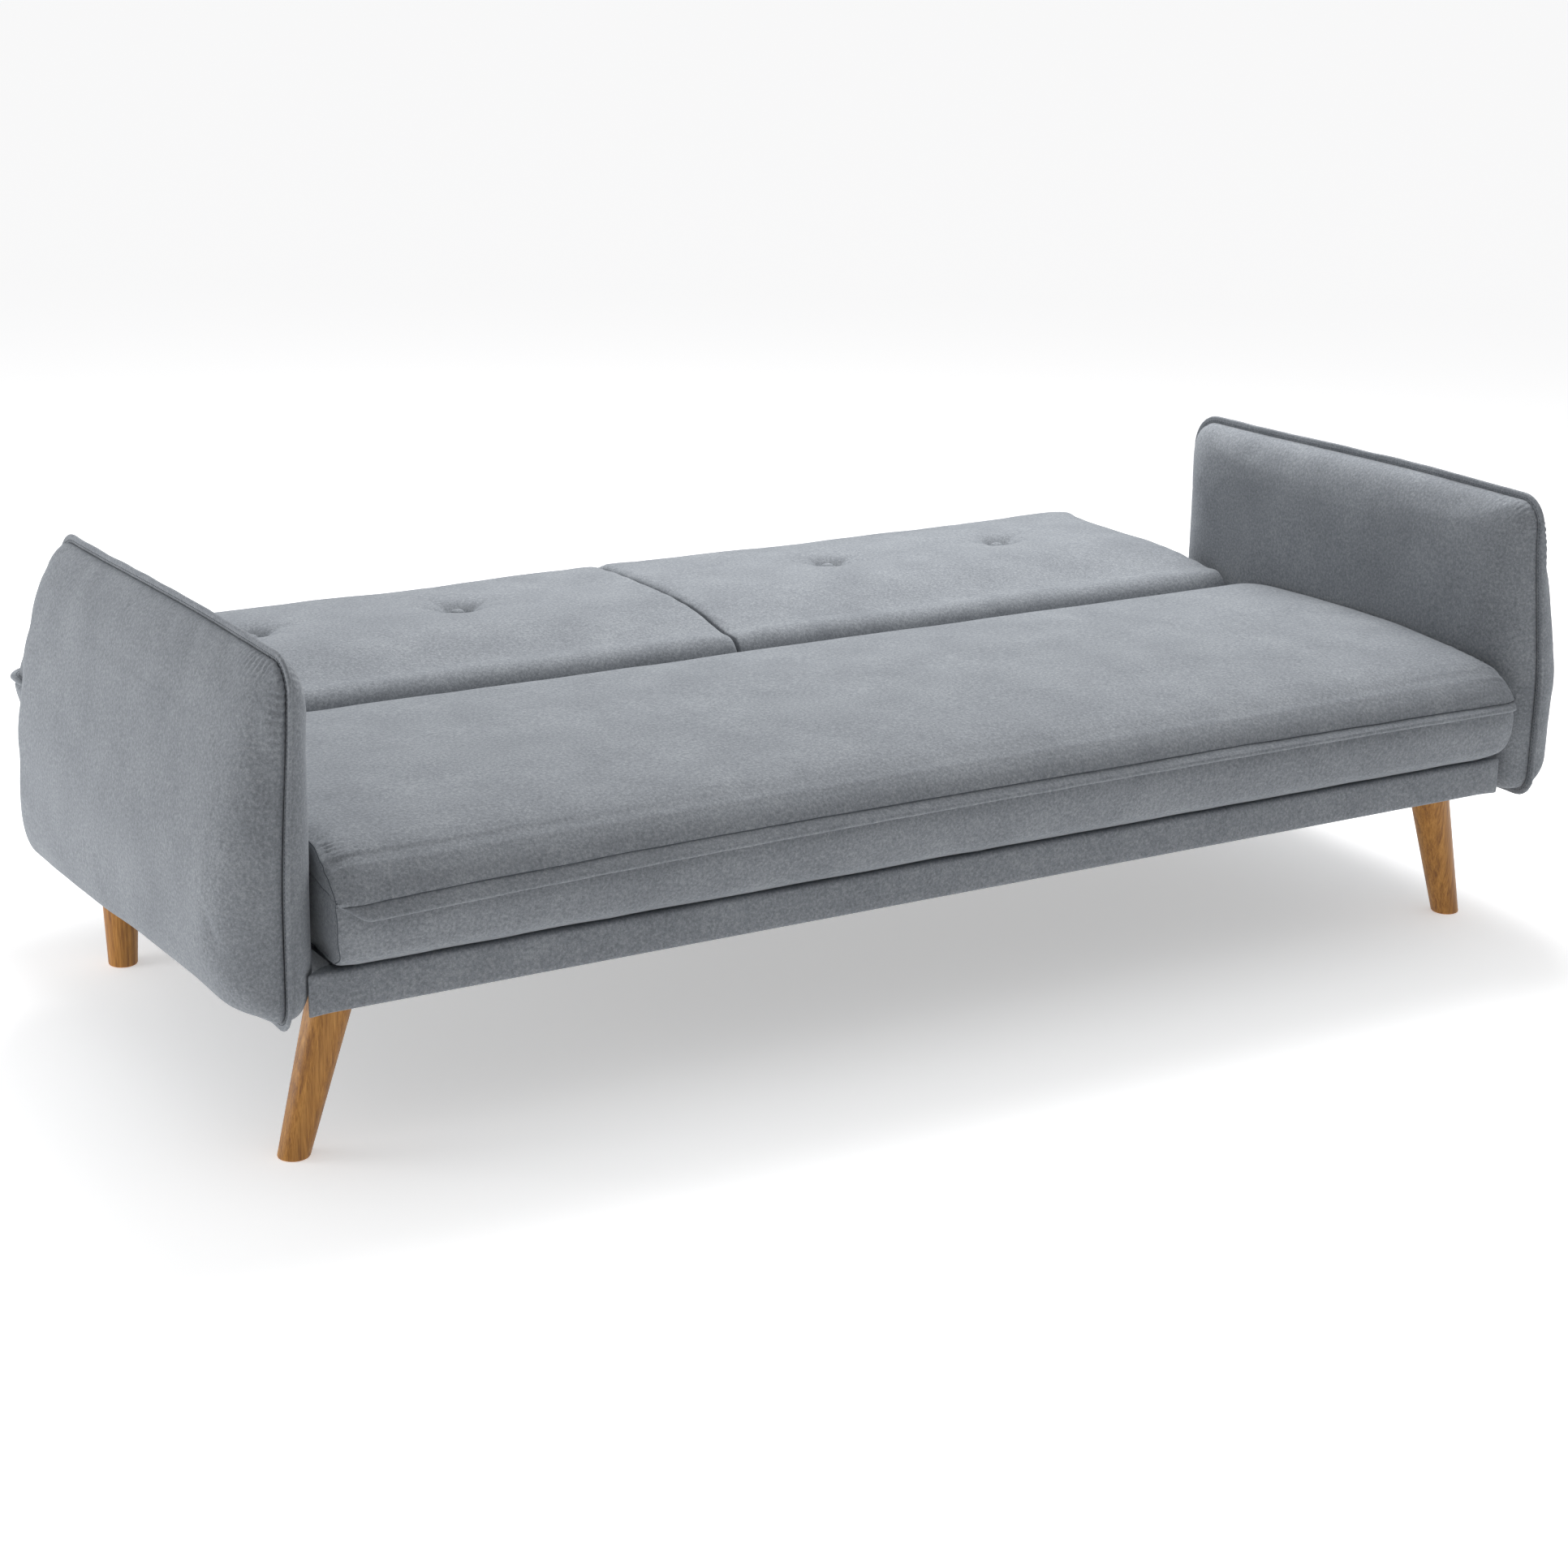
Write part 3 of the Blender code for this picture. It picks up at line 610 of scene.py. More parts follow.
seat_half = seat_high.x - GUSSET_CROWN
end_steps = np.array([0.0, 3.0, 7.0, 12.0, 18.0, 25.0, 33.0, 43.0]) * MM
inner_xs = np.linspace(-seat_half + 55 * MM, seat_half - 55 * MM, 142)
seat_xs = np.concatenate([-seat_half + end_steps, inner_xs, (seat_half - end_steps)[::-1]])
at_rear = fade(seat_side[:, 0] + 0.5, 0.2)
at_underside = fade(seat_low.z + 0.05 - seat_side[:, 1], 0.03)
full = 1 - 0.65 * np.maximum(at_rear, at_underside)  # the ends stay fuller at the rear and below


def nose_welt_drop(x):
    """The nose welt hangs lower towards the ends."""
    return -(9 - 3 * np.sign(x)) * MM * np.abs(x / seat_half) ** 2.4


seat_loops = []
for x in seat_xs:
    near = max(0.0, 1 - (seat_half - abs(x)) / SEAT_END_ROUNDING)
    groove = SEAT_END_GROOVE * max(0.0, 1 - (seat_half - abs(x)) / (4 * MM))
    outline = eased(seat_side, (SEAT_END_EASE * near**2 * full + groove)[:, None])
    lower = np.exp(-(((outline[:, 1] - seat_side[seat_welt_point, 1]) / 0.032) ** 2))
    lower *= outline[:, 0] < seat_low.y + 0.05
    outline[:, 1] += nose_welt_drop(x) * lower
    outline[:, 1] = np.maximum(outline[:, 1], seat_low.z + 0.5 * MM)
    at_nose = np.clip((seat_low.y + 0.115 - outline[:, 0]) / 0.055, 0, 1)
    above = fade(outline[:, 1] - seat_low.z - 0.04, 0.05)
    raised = fade(outline[:, 1] - seat_low.z, 0.05)
    nose_spread = NOSE_SPREAD * raised + LOWER_SPREAD[0 if x < 0 else 1] * (1 - raised)
    spread = np.maximum(nose_spread * at_nose, TOP_SPREAD * above)
    spread *= np.clip(1 - (seat_half - abs(x)) / END_REACH, 0, 1)
    seat_loops.append(np.column_stack([x + np.sign(x) * spread, outline]))
seat_places, seat_faces = skin(seat_loops, SEAT_ROWS, SEAT_COLUMNS, (-GUSSET_CROWN, GUSSET_CROWN))
print("seat cover:", len(seat_places), "points before softening")

# %% Fill the seat and give it its detail
loop_of = np.arange(len(seat_loops) * seat_count) % seat_count
station_of = np.arange(len(seat_loops) * seat_count) // seat_count
last_station = len(seat_loops) - 1
sewn = (loop_of == seat_welt_point) | (loop_of <= SEAT_ROWS)
sewn |= (station_of == 0) | (station_of == last_station)
seat_soft = filled(seat_places, seat_faces, np.flatnonzero(sewn), 9 * MM)
seat_seams = [[station * seat_count + seat_welt_point for station in range(len(seat_loops))]]
for station in (0, last_station):
    seat_seams.append([station * seat_count + i % seat_count for i in range(seat_count + 1)])
seat = subdivided(solid("seat", seat_soft, seat_faces), seat_seams)
places, outward = places_of(seat.data), outward_of(seat.data)
along_seam, from_seam = [], []
for sign in (-1, 1):
    end_seam = seat_loops[0 if sign < 0 else -1]
    far_along, away = beside(np.concatenate([end_seam, end_seam[:1]]), places)
    along_seam.append(far_along)
    from_seam.append(away)
nearest = np.argmin(from_seam, axis=0)
along, away = np.choose(nearest, along_seam), np.choose(nearest, from_seam)
top_front = np.exp(-(((places[:, 2] - seat_high.z + 0.025) / 0.03) ** 2))
top_front *= places[:, 1] < seat_low.y + 0.16
on_panel = np.abs(places[:, 0]) < seat_half - 1 * MM
PLEAT = 9 * MM  # from one pleat beside the end seam to the next
gather = np.sin(2 * math.pi * along / PLEAT + 3 * swell(places, 0.05, 3)) * np.exp(-away / 0.014) * on_panel
gather *= fade(away, 0.002)
roll = swell(places * (1, 1, 2), 0.16, 1) * 1.6 * MM + swell(places, 0.06, 2) * 0.5 * MM
roll *= np.clip((places[:, 2] - seat_low.z) / 0.03, 0, 1)
hem = swell(places * (1, 0, 0), 0.11, 5) * 2.5 * MM * np.exp(-((places[:, 2] - seat_low.z) / 0.015) ** 2)
places = places + outward * (roll + gather * (0.2 + 2.4 * top_front) * MM)[:, None]
places[:, 2] += np.abs(hem) * (places[:, 1] < seat_low.y + 0.05)
places[:, 2] = np.maximum(places[:, 2], seat_low.z - 0.5 * MM)
set_places(seat.data, places)
finished(seat, "base", "upholstery", FELT, "seat_cushion", fill=0.8)

# %% The nose welt, with a fish-mouth fold at each end
SEAT_WELT_TAPER = (36 * MM, 12 * MM)  # left end, right end
nose_points = [loop[seat_welt_point] for loop in seat_loops[::3] + seat_loops[-1:]]
nose_path = smooth_line(nose_points, 260)
from_left, from_right = nose_path[:, 0] - nose_path[0, 0], nose_path[-1, 0] - nose_path[:, 0]
nose_width = SEAT_WELT_WIDTH * fade(from_left, SEAT_WELT_TAPER[0]) * fade(from_right, SEAT_WELT_TAPER[1])
nose_width = np.maximum(nose_width, 0.3 * MM)
to_right = nose_path[:, 0] / seat_half / 2 + 0.5
nose_width = nose_width * (1 - 0.34 * to_right)  # the strip hangs wider and flatter at the left
droop = np.radians(-46 + 20 * to_right)
nose_out = np.column_stack([0 * droop, -np.cos(droop), np.sin(droop)])
nose_welt = welt("seat_nose_welt", nose_path, nose_out, nose_width, 7.5 * MM, wave=1.0 * MM, seed=2)
finished(nose_welt, "base", "upholstery", FELT)

# %% [markdown]
# ## The arms
# Each arm is a board between two pads. The outer pad is full and swells past its own seam, the inner
# one is boxy so that the cushions can lie against it. A welt stands out all round between them. The
# pads are outlines of a rectangle with round corners, taken outwards along a side profile.

# %% Arm outlines
pad_low, pad_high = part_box("right_arm_outer_pad")
inner_low, inner_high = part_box("right_arm_inner_pad")
welt_low, welt_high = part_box("right_arm_welt")
ARM_ROWS, ARM_COLUMNS = 84, 58
ARM_CROWDING = 90 * MM  # points lie closer within this distance of the front and of the top
ARM_CORNERS = (26 * MM, 28 * MM, 46 * MM, 34 * MM)  # front below, rear below, rear above, front above


def arm_outline(front=0.0, below=0.0, rear=0.0, above=0.0):
    """The arm's side view with each side pushed outwards, from corner middle to corner middle."""
    y_low, y_high = pad_low.y - front, pad_high.y + rear
    z_low, z_high = pad_low.z - below, pad_high.z + above
    points = []
    for number, radius in enumerate(ARM_CORNERS):
        radius += 0.4 * max(0.0, -min(front, above))
        y = y_low + radius if number in (0, 3) else y_high - radius
        z = z_low + radius if number in (0, 1) else z_high - radius
        angles = [math.radians(180 + 90 * number + 7.5 * k) for k in range(13)]
        points.append([(y + radius * math.cos(a), z + radius * math.sin(a)) for a in angles])
    stretches = []
    for number, count in enumerate((ARM_ROWS, ARM_COLUMNS, ARM_ROWS, ARM_COLUMNS)):
        after = points[(number + 1) % 4]
        line = even_line(points[number][6:] + after[:7], 300)
        axis, place = (0, y_low) if number in (0, 2) else (1, z_high)
        stretches.append(crowded(line, axis, [place], count, ARM_CROWDING))
    return joined(*stretches)


def pad_skin(x_seam, profiles, steps, pocket, crown):
    """A pad drawn from its seam along four profiles of (away from the welt, outwards) in mm."""
    sides = [smooth_line(np.array(profile) * MM, steps) for profile in profiles]
    back = -20 * MM
    loops = [at_x(arm_outline(back, back, back, back), x_seam + pocket)]
    loops.append(at_x(arm_outline(*(4 * [-18 * MM])), x_seam))
    sign = 1 if profiles[0][-1][0] > 0 else -1
    for step in range(steps + 1):
        away = np.mean([side[step][0] for side in sides])
        loops.append(at_x(arm_outline(*(side[step][1] for side in sides)), x_seam + away))
    return skin(loops, ARM_ROWS, ARM_COLUMNS, (0.0, sign * crown))


# The pads are full below and behind, and thin out softly towards the top and the front.
OUTER_FRONT = [(0, 0), (7, 3), (20, 3), (36, -4), (52, -18), (64, -38), (71, -66)]
OUTER_BELOW = [(0, 0), (7, 1), (20, 1), (36, -3), (52, -10), (64, -22), (71, -46)]
OUTER_REAR = [(0, 0), (7, 5), (20, 7), (36, 5), (52, -3), (64, -16), (71, -40)]
OUTER_ABOVE = [(0, 0), (7, 0), (20, -5), (36, -16), (52, -34), (64, -58), (71, -92)]
INNER_FRONT = [(0, 0), (-8, -2), (-18, -9), (-28, -21), (-37, -37), (-42, -53), (-45, -76)]
INNER_BELOW = [(0, 0), (-8, 2), (-18, 2), (-28, -4), (-37, -14), (-42, -28), (-45, -52)]
INNER_REAR = [(0, 0), (-8, 0), (-18, -6), (-28, -19), (-37, -38), (-42, -55), (-45, -78)]
INNER_ABOVE = [(0, 0), (-8, -1), (-18, -5), (-28, -14), (-37, -28), (-42, -44), (-45, -68)]
outer_profiles = (OUTER_FRONT, OUTER_BELOW, OUTER_REAR, OUTER_ABOVE)
inner_profiles = (INNER_FRONT, INNER_BELOW, INNER_REAR, INNER_ABOVE)
outer_places, outer_faces = pad_skin(pad_low.x, outer_profiles, 16, 0.0, 4 * MM)
inner_places, inner_faces = pad_skin(inner_high.x, inner_profiles, 13, -14 * MM, 1 * MM)
lift = fade(outer_places[:, 2] - 0.36, pad_high.z - 0.36)
outer_places[:, 0] -= (outer_places[:, 0] - pad_low.x) * 0.42 * lift
print("arm pads:", len(outer_places), "and", len(inner_places), "points")

# %% How the sewn arm settles
ARM_LEAN = (-5 * MM, 12 * MM)  # how far out the seam stands, at the top and below
ARM_BOW = 11 * MM  # the front seam bows forward below
ARM_TOP_DROP = 12 * MM  # the top falls to the rear
ARM_REAR_LEAN = 8 * MM  # the rear leans forward at the top


def settled(places):
    """An arm piece of the right side after its seams have found their place."""
    places = np.array(places, float)
    x, y, z = places.T
    down = fade(0.64 - z, 0.28)
    seam = np.clip((x - inner_low.x) / (pad_low.x - inner_low.x), 0, 1)
    front = 1 - fade(y - pad_low.y, 0.25)
    rear = fade(y - pad_low.y - 0.5, 0.3)
    rear_top = fade(y - pad_low.y - 0.2, 0.6) * fade(z - 0.42, 0.2)
    out = (ARM_LEAN[0] + (ARM_LEAN[1] - ARM_LEAN[0]) * down) * seam
    outer = fade(x - pad_low.x, 0.04)
    lean = ARM_REAR_LEAN - 17 * MM * outer + 3 * MM * fade(inner_high.x - x, 0.03)
    ahead = ARM_BOW * down * front + lean * rear * fade(z - 0.35, 0.28)
    ahead += 5 * MM * outer * rear * np.exp(-(((z - 0.38) / 0.09) ** 2))
    return np.column_stack([x + out, y - ahead, z - ARM_TOP_DROP * rear_top])


# The outer pad's underside lifts towards the front and hangs towards the rear.
proud = fade(outer_places[:, 0] - pad_low.x, 0.025) * fade(0.42 - outer_places[:, 2], 0.2)
to_rear = fade(outer_places[:, 1] - pad_low.y - 0.1, 0.6)
outer_places[:, 2] += (8 - 24 * to_rear) * MM * proud
outer_places, inner_places = settled(outer_places), settled(inner_places)

# %% Fill and place the arm pads
arm_count = 2 * (ARM_ROWS + ARM_COLUMNS)


def pad_sewn(places):
    """The back of the pad and its seam."""
    last_row = 3 * arm_count
    behind = np.arange(len(places)) < last_row
    grid = (ARM_ROWS - 1) * (ARM_COLUMNS - 1)
    behind[-2 * grid : -grid] = True
    return np.flatnonzero(behind)


outer_soft = filled(outer_places, outer_faces, pad_sewn(outer_places), 8 * MM)
inner_soft = filled(inner_places, inner_faces, pad_sewn(inner_places), 5 * MM, spare=0.01)
arm_path = arm_outline()
arm_ring = np.concatenate([arm_path, arm_path[:1]])
pad_seams = [[2 * arm_count + i % arm_count for i in range(arm_count + 1)]]
front_top = Vector((pad_low.y, pad_high.z))


def dress_pad(name, soft, faces, sign, x_seam, seed, body_nodes, fill, pull):
    """One pad on one side of the bed, with gathers beside its seam."""
    pad = subdivided(solid(name, soft * (sign, 1, 1), faces), pad_seams)
    places, outward = places_of(pad.data), outward_of(pad.data)
    along, away = beside(settled(at_x(even_line(arm_ring, 1200), x_seam)) * (sign, 1, 1), places)
    to_corner = np.hypot(places[:, 1] - front_top.x, places[:, 2] - front_top.y)
    strength = 0.15 + 1.1 * np.exp(-((to_corner / 0.10) ** 2))
    ripple = np.sin(2 * math.pi * along / 0.0105 + 4 * swell(places, 0.05, seed + 1))
    gather = ripple * strength * np.exp(-((away - 0.012) / 0.016) ** 2) * pull
    roll = swell(places, 0.15, seed) * 2.0 * MM + swell(places, 0.05, seed + 2) * 0.4 * MM
    roll *= np.clip(away / 0.04, 0, 1)
    set_places(pad.data, places + outward * (roll + gather * MM)[:, None])
    finished(pad, "base", "upholstery", FELT, *body_nodes, fill=fill)


for side, sign, seed in (("left", -1, 11), ("right", 1, 17)):
    outer_node, inner_node = f"{side}_arm_outer_pad", f"{side}_arm_inner_pad"
    outer_cover, inner_cover = (outer_soft, outer_faces), (inner_soft, inner_faces)
    dress_pad(f"{side}_outer_pad", *outer_cover, sign, pad_low.x, seed, [outer_node], 0.8, 0.9)
    dress_pad(f"{side}_inner_pad", *inner_cover, sign, inner_high.x, seed + 5, [inner_node], 0.9, 0.4)

# %% The arm welts
ARM_WELT_WIDTH = 11 * MM
WELT_THICK = 5 * MM
arm_welt_x = (welt_low.x + welt_high.x) / 2
ring = settled(at_x(even_line(arm_ring, 420)[:-1], arm_welt_x))
ring_ahead = np.roll(ring, -1, axis=0) - np.roll(ring, 1, axis=0)
ring_out = np.column_stack([np.zeros(len(ring)), ring_ahead[:, 2], -ring_ahead[:, 1]])
ring_out /= np.linalg.norm(ring_out, axis=1)[:, None]
for side, sign, seed in (("left", -1, 4), ("right", 1, 6)):
    line, loose = ring * (sign, 1, 1), 1.5 * MM
    strip = welt(f"{side}_welt", line, ring_out, ARM_WELT_WIDTH, WELT_THICK, True, wave=loose, seed=seed)
    finished(strip, "base", "upholstery", FELT, f"{side}_arm_welt")

# %% [markdown]
# ## The backs
# Each back is a cushion on a board. Its front edge is a full round about the hinge line, so it can
# turn up without pressing on the seat. Two panels meet at a welt at half height round the outer end
# and the rear. Two covered buttons are pulled deep into the foam and draw soft folds after them.

# %% Back outline and skin
back_low, back_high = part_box("right_back_cushion")
board_low, board_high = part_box("right_back_board")
pivot = sum(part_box("right_inner_hinge_pin"), Vector()) / 2
BACK_ROWS, BACK_COLUMNS = 60, 14
NOSE_RADIUS = pivot.y - back_low.y
BACK_WELT_Z = 355 * MM
BACK_CROWN = 15 * MM  # how far the middle stands above the hard solid's top
buttons = [sum(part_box(f"right_button_{n}"), Vector()) / 2 for n in (1, 2)]


NOSE_CORNER = 9 * MM  # the nose swells this far past its round, at its upper front


def nose_arc(start, stop, count):
    """The nose round the hinge line, between two angles in degrees."""
    points = []
    for angle in [start + (stop - start) * i / 24 for i in range(25)]:
        radius = NOSE_RADIUS + NOSE_CORNER * math.exp(-(((angle - 138) / 24) ** 2))
        turn = math.radians(angle)
        points.append((pivot.y + radius * math.cos(turn), pivot.z + radius * math.sin(turn)))
    return even_line(points, count)


def back_outline(crown):
    """One slice through a back, from under its nose to the rear, over the top and down the nose."""
    top, rear, shelf = back_high.z, back_high.y, board_high.z + 1 * MM
    under = [(pivot.y - NOSE_RADIUS * 0.7071, pivot.z - NOSE_RADIUS * 0.7071)]
    under += [tuple(p) for p in nose_arc(240, 270, 3)]
    under += [(board_low.y - 4 * MM, back_low.z), (board_low.y - 1 * MM, shelf)]
    under += [(0.5 * (rear + board_low.y), shelf), (rear - 42 * MM, shelf + 1 * MM)]
    rise = [under[-1], (rear - 16 * MM, shelf + 18 * MM), (rear - 4 * MM, BACK_WELT_Z - 18 * MM)]
    rise += [(rear - 1 * MM, BACK_WELT_Z)]
    fall = [(rear - 1 * MM, BACK_WELT_Z), (rear - 7 * MM, BACK_WELT_Z + 24 * MM)]
    fall += [(rear - 34 * MM, top - 18 * MM + crown * 0.3)]
    over = [fall[-1], (rear - 80 * MM, top + crown * 0.2), (rear - 120 * MM, top + crown * 0.6)]
    over += [(rear - 180 * MM, top + crown * 0.9), (rear - 250 * MM, top + crown)]
    over += [(rear - 320 * MM, top + crown), (rear - 380 * MM, top + crown * 0.75)]
    over += [(rear - 425 * MM, top + crown * 0.3 - 1 * MM), (rear - 460 * MM, top - 4 * MM)]
    over += [(rear - 490 * MM, top - 9 * MM)]
    over += [tuple(p) for p in nose_arc(124, 135, 3)]
    return joined(
        even_line(under, BACK_ROWS),
        smooth_line(rise, BACK_COLUMNS // 2),
        smooth_line(fall, BACK_COLUMNS // 2),
        crowded(smooth_line(over, 400), 0, [buttons[0].y], BACK_ROWS),
        nose_arc(135, 225, BACK_COLUMNS),
    )


END_ROUNDING, SPLIT_ROUNDING = 22 * MM, 14 * MM
NOSE_END_ROUNDING = 9 * MM  # the outer end is boxier beside the hinge
LOWER_END_ROUNDING = 16 * MM  # and below the welt
PLAN_CORNER, SPLIT_CORNER = 40 * MM, 20 * MM  # the rear corners, seen from above


def quarter(distance, reach, power=2.0):
    """A quarter round from 0 at the end to 1 at reach."""
    t = np.clip(distance / reach, 0, 1)
    return (1 - (1 - t) ** power) ** (1 / power)


outer_end, inner_end = back_high.x + 1 * MM, back_low.x
bend = np.linspace(0, math.pi / 2, 10)
outer_steps = (outer_end - END_ROUNDING * (1 - np.cos(bend)))[:-1]
inner_steps = (inner_end + SPLIT_ROUNDING * (1 - np.cos(np.linspace(0, math.pi / 2, 6))))[:-1]
middle_line = np.linspace(inner_end + SPLIT_ROUNDING, outer_end - END_ROUNDING, 400)[:, None]
middle_xs = crowded(middle_line, 0, [button.x for button in buttons], 84)[:, 0]
back_xs = np.concatenate([inner_steps, middle_xs, outer_steps[::-1]])
back_loops = []
for x in back_xs:
    from_inner, from_outer = x - inner_end, outer_end - x
    spread = min(0.75 + from_inner, quarter(from_outer + 0.02, 0.30, 1.6), 1.0)
    outline = back_outline(BACK_CROWN * spread)
    behind = fade(outline[:, 0] - back_low.y - 0.03, 0.16)
    reach = NOSE_END_ROUNDING + (END_ROUNDING - NOSE_END_ROUNDING) * behind
    reach = np.where(outline[:, 1] < BACK_WELT_Z, np.minimum(reach, LOWER_END_ROUNDING), reach)
    height = 0.90 + 0.10 * quarter(from_inner, SPLIT_ROUNDING)
    height = height * (0.05 + 0.95 * quarter(from_outer, reach, 2.8))
    outline[:, 1] = BACK_WELT_Z + (outline[:, 1] - BACK_WELT_Z) * height
    plan = PLAN_CORNER * (1 - quarter(from_outer, PLAN_CORNER))
    plan += SPLIT_CORNER * (1 - quarter(from_inner, SPLIT_CORNER))
    depth = back_high.y - back_low.y
    outline[:, 0] = back_low.y + (outline[:, 0] - back_low.y) * (depth - plan) / depth
    back_loops.append(at_x(outline, x))
back_places, back_faces = skin(back_loops, BACK_ROWS, BACK_COLUMNS, (0.0, 0.0))
back_count = len(back_loops[0])
back_welt_point = BACK_ROWS + BACK_COLUMNS // 2
print("back cover:", len(back_places), "points")

# %% Fill the backs, then pull in the buttons
loop_of = np.arange(len(back_places)) % back_count
station_of = np.arange(len(back_places)) // back_count
on_loops = np.arange(len(back_places)) < len(back_loops) * back_count
sewn = on_loops & ((loop_of <= BACK_ROWS) | (loop_of == back_welt_point) | (station_of == 0))
sewn |= (station_of >= len(back_loops) - 2) | (on_loops & (loop_of >= 2 * BACK_ROWS + BACK_COLUMNS))
back_soft = filled(back_places, back_faces, np.flatnonzero(sewn), 8 * MM)
HINGE_CLEAR_Y, HINGE_CLEAR_Z = 336 * MM, 376 * MM
hinge_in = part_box("right_inner_moving_leaf")[1].x + 1.5 * MM
hinge_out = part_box("right_outer_moving_leaf")[0].x - 1.5 * MM
TUFT_DEPTH, TUFT_REACH = 26 * MM, 24 * MM
FOLDS = ((8, 1.0), (172, 1.0), (62, 0.45), (118, 0.4), (215, 0.5), (325, 0.5))  # turn in degrees, strength


def clear_of_hinges(places):
    """Keeps the cover out of the slots for the hinge leaves at both ends of the nose."""
    up = np.interp(places[:, 2], [HINGE_CLEAR_Z, HINGE_CLEAR_Z + 14 * MM], [0, 1])
    behind = np.interp(places[:, 1], [HINGE_CLEAR_Y, HINGE_CLEAR_Y + 20 * MM], [0, 1])
    free = np.maximum(up, behind)
    x = np.minimum(places[:, 0], hinge_out + free * (outer_end + 30 * MM - hinge_out))
    places[:, 0] = np.maximum(x, hinge_in * (1 - free))
    return places


def tufted(places, seed):
    """Pulls the top in at each button: a soft bowl with folds that run out of it."""
    top = places[:, 2] > BACK_WELT_Z + 20 * MM
    for number, button in enumerate(buttons):
        offset = places[:, :2] - np.array(button[:2])
        away = np.hypot(offset[:, 0], offset[:, 1])
        heading = np.degrees(np.arctan2(offset[:, 1], offset[:, 0]))
        depth = TUFT_DEPTH / (1 + (away / TUFT_REACH) ** 3.2)
        for turn_to, strength in FOLDS:
            lean = (heading - turn_to - 7 * math.sin(seed + number * 2 + turn_to) + 180) % 360 - 180
            width = 8 + 300 * MM / (away + 10 * MM)
            crease = np.exp(-((lean / width) ** 2)) * np.exp(-away / 0.055) * fade(away, 0.012)
            depth += 8 * MM * strength * crease
        places[:, 2] -= depth * top
    return places


def widened(places):
    """Widens the outer end behind the arms, where the welted corner stands free."""
    behind = fade(places[:, 1] - 0.44, 0.10)
    outwards = fade(places[:, 0] - 0.80, 0.12)
    below = fade(BACK_WELT_Z - places[:, 2], 0.01) * fade(places[:, 2] - BACK_WELT_Z + 0.07, 0.03)
    places[:, 0] += (14 + 9 * below) * MM * behind * outwards
    return places


for side, sign, seed in (("left", -1, 23), ("right", 1, 29)):
    back = subdivided(solid(f"{side}_back", back_soft, back_faces))
    places, outward = places_of(back.data), outward_of(back.data)
    upper = np.clip((places[:, 2] - BACK_WELT_Z) / 0.04, 0, 1)
    roll = (swell(places, 0.14, seed) * 2.0 + swell(places, 0.05, seed + 1) * 0.5) * MM
    far_along, away = beside(widened(np.array([loop[back_welt_point] for loop in back_loops])), places)
    ripple = np.sin(2 * math.pi * far_along / 0.016 + 4 * swell(places, 0.05, seed))
    gather = ripple * np.exp(-((away - 0.015) / 0.02) ** 2)
    pleat = np.sin(2 * math.pi * places[:, 1] / 0.012) * np.exp(-((places[:, 0] - inner_end) / 0.03) ** 2)
    pleat *= fade(places[:, 1] - 0.47, 0.06) * (1.6 if sign > 0 else 0.3)
    pleat *= fade(places[:, 0] - inner_end, 0.006)
    places = places + outward * (roll * upper + gather * 0.5 * MM + pleat * upper * MM)[:, None]
    places = clear_of_hinges(widened(tufted(places, seed)))
    places[:, 0] *= sign
    set_places(back.data, places)
    if sign < 0:
        back.data.flip_normals()
    finished(back, f"{side}_back", "upholstery", FELT, f"{side}_back_cushion", fill=0.8)

# %% The welt round the outer end and rear of each back
BACK_WELT_START = 360 * MM  # behind the hinge plates
seam_rear = np.array([loop[back_welt_point] for loop in back_loops])
end_x, end_y = seam_rear[-1][0], seam_rear[-1][1]
side_run = [(end_x, y, BACK_WELT_Z) for y in np.linspace(BACK_WELT_START, end_y - 5 * MM, 8)]
welt_run = widened(np.array(side_run + [tuple(p) for p in seam_rear[::-1]][1:]))
welt_run = smooth_line(welt_run[::2], 240)
run_ahead = np.gradient(welt_run, axis=0)
run_out = np.column_stack([run_ahead[:, 1], -run_ahead[:, 0], np.zeros(len(run_ahead))])
run_out /= np.linalg.norm(run_out, axis=1)[:, None]
run_far = np.concatenate([[0], np.cumsum(np.linalg.norm(np.diff(welt_run, axis=0), axis=1))])
run_width = np.maximum(13 * MM * fade(run_far, 0.05) * fade(run_far[-1] - run_far, 0.03), 0.3 * MM)
for side, sign, seed in (("left", -1, 8), ("right", 1, 9)):
    mirror = np.array((sign, 1, 1))
    line, out = welt_run * mirror, run_out * mirror
    strip = welt(f"{side}_back_welt", line, out, run_width, WELT_THICK, wave=1.2 * MM, seed=seed)
    finished(strip, f"{side}_back", "upholstery", FELT)

# %% [markdown]
# ## Covered buttons
# A covered button is a metal cap with felt stretched over it: a low dome with a rim that tucks under.
# It is a profile turned about the vertical.


# %% Turned pieces and buttons
def lathe(name, profile, place, sides=48, lean=0.0):
    """A profile of (radius, height) turned about Z from one pole to the other, leaning along X."""
    rings = []
    for radius, height in profile:
        angles = [2 * math.pi * i / sides for i in range(sides)]
        rings.append([(lean * height + radius * math.cos(a), radius * math.sin(a), height) for a in angles])
    points = [tuple(Vector(p) + Vector(place)) for ring in rings for p in ring]
    poles = [Vector(place) + Vector((lean * h, 0, h)) for h in (profile[0][1], profile[-1][1])]
    points += [tuple(p) for p in poles]
    faces = ring_faces(sides, len(rings))
    last = (len(rings) - 1) * sides
    for i in range(sides):
        j = (i + 1) % sides
        faces.append((len(points) - 2, j, i))
        faces.append((len(points) - 1, last + i, last + j))
    return solid(name, points, faces)


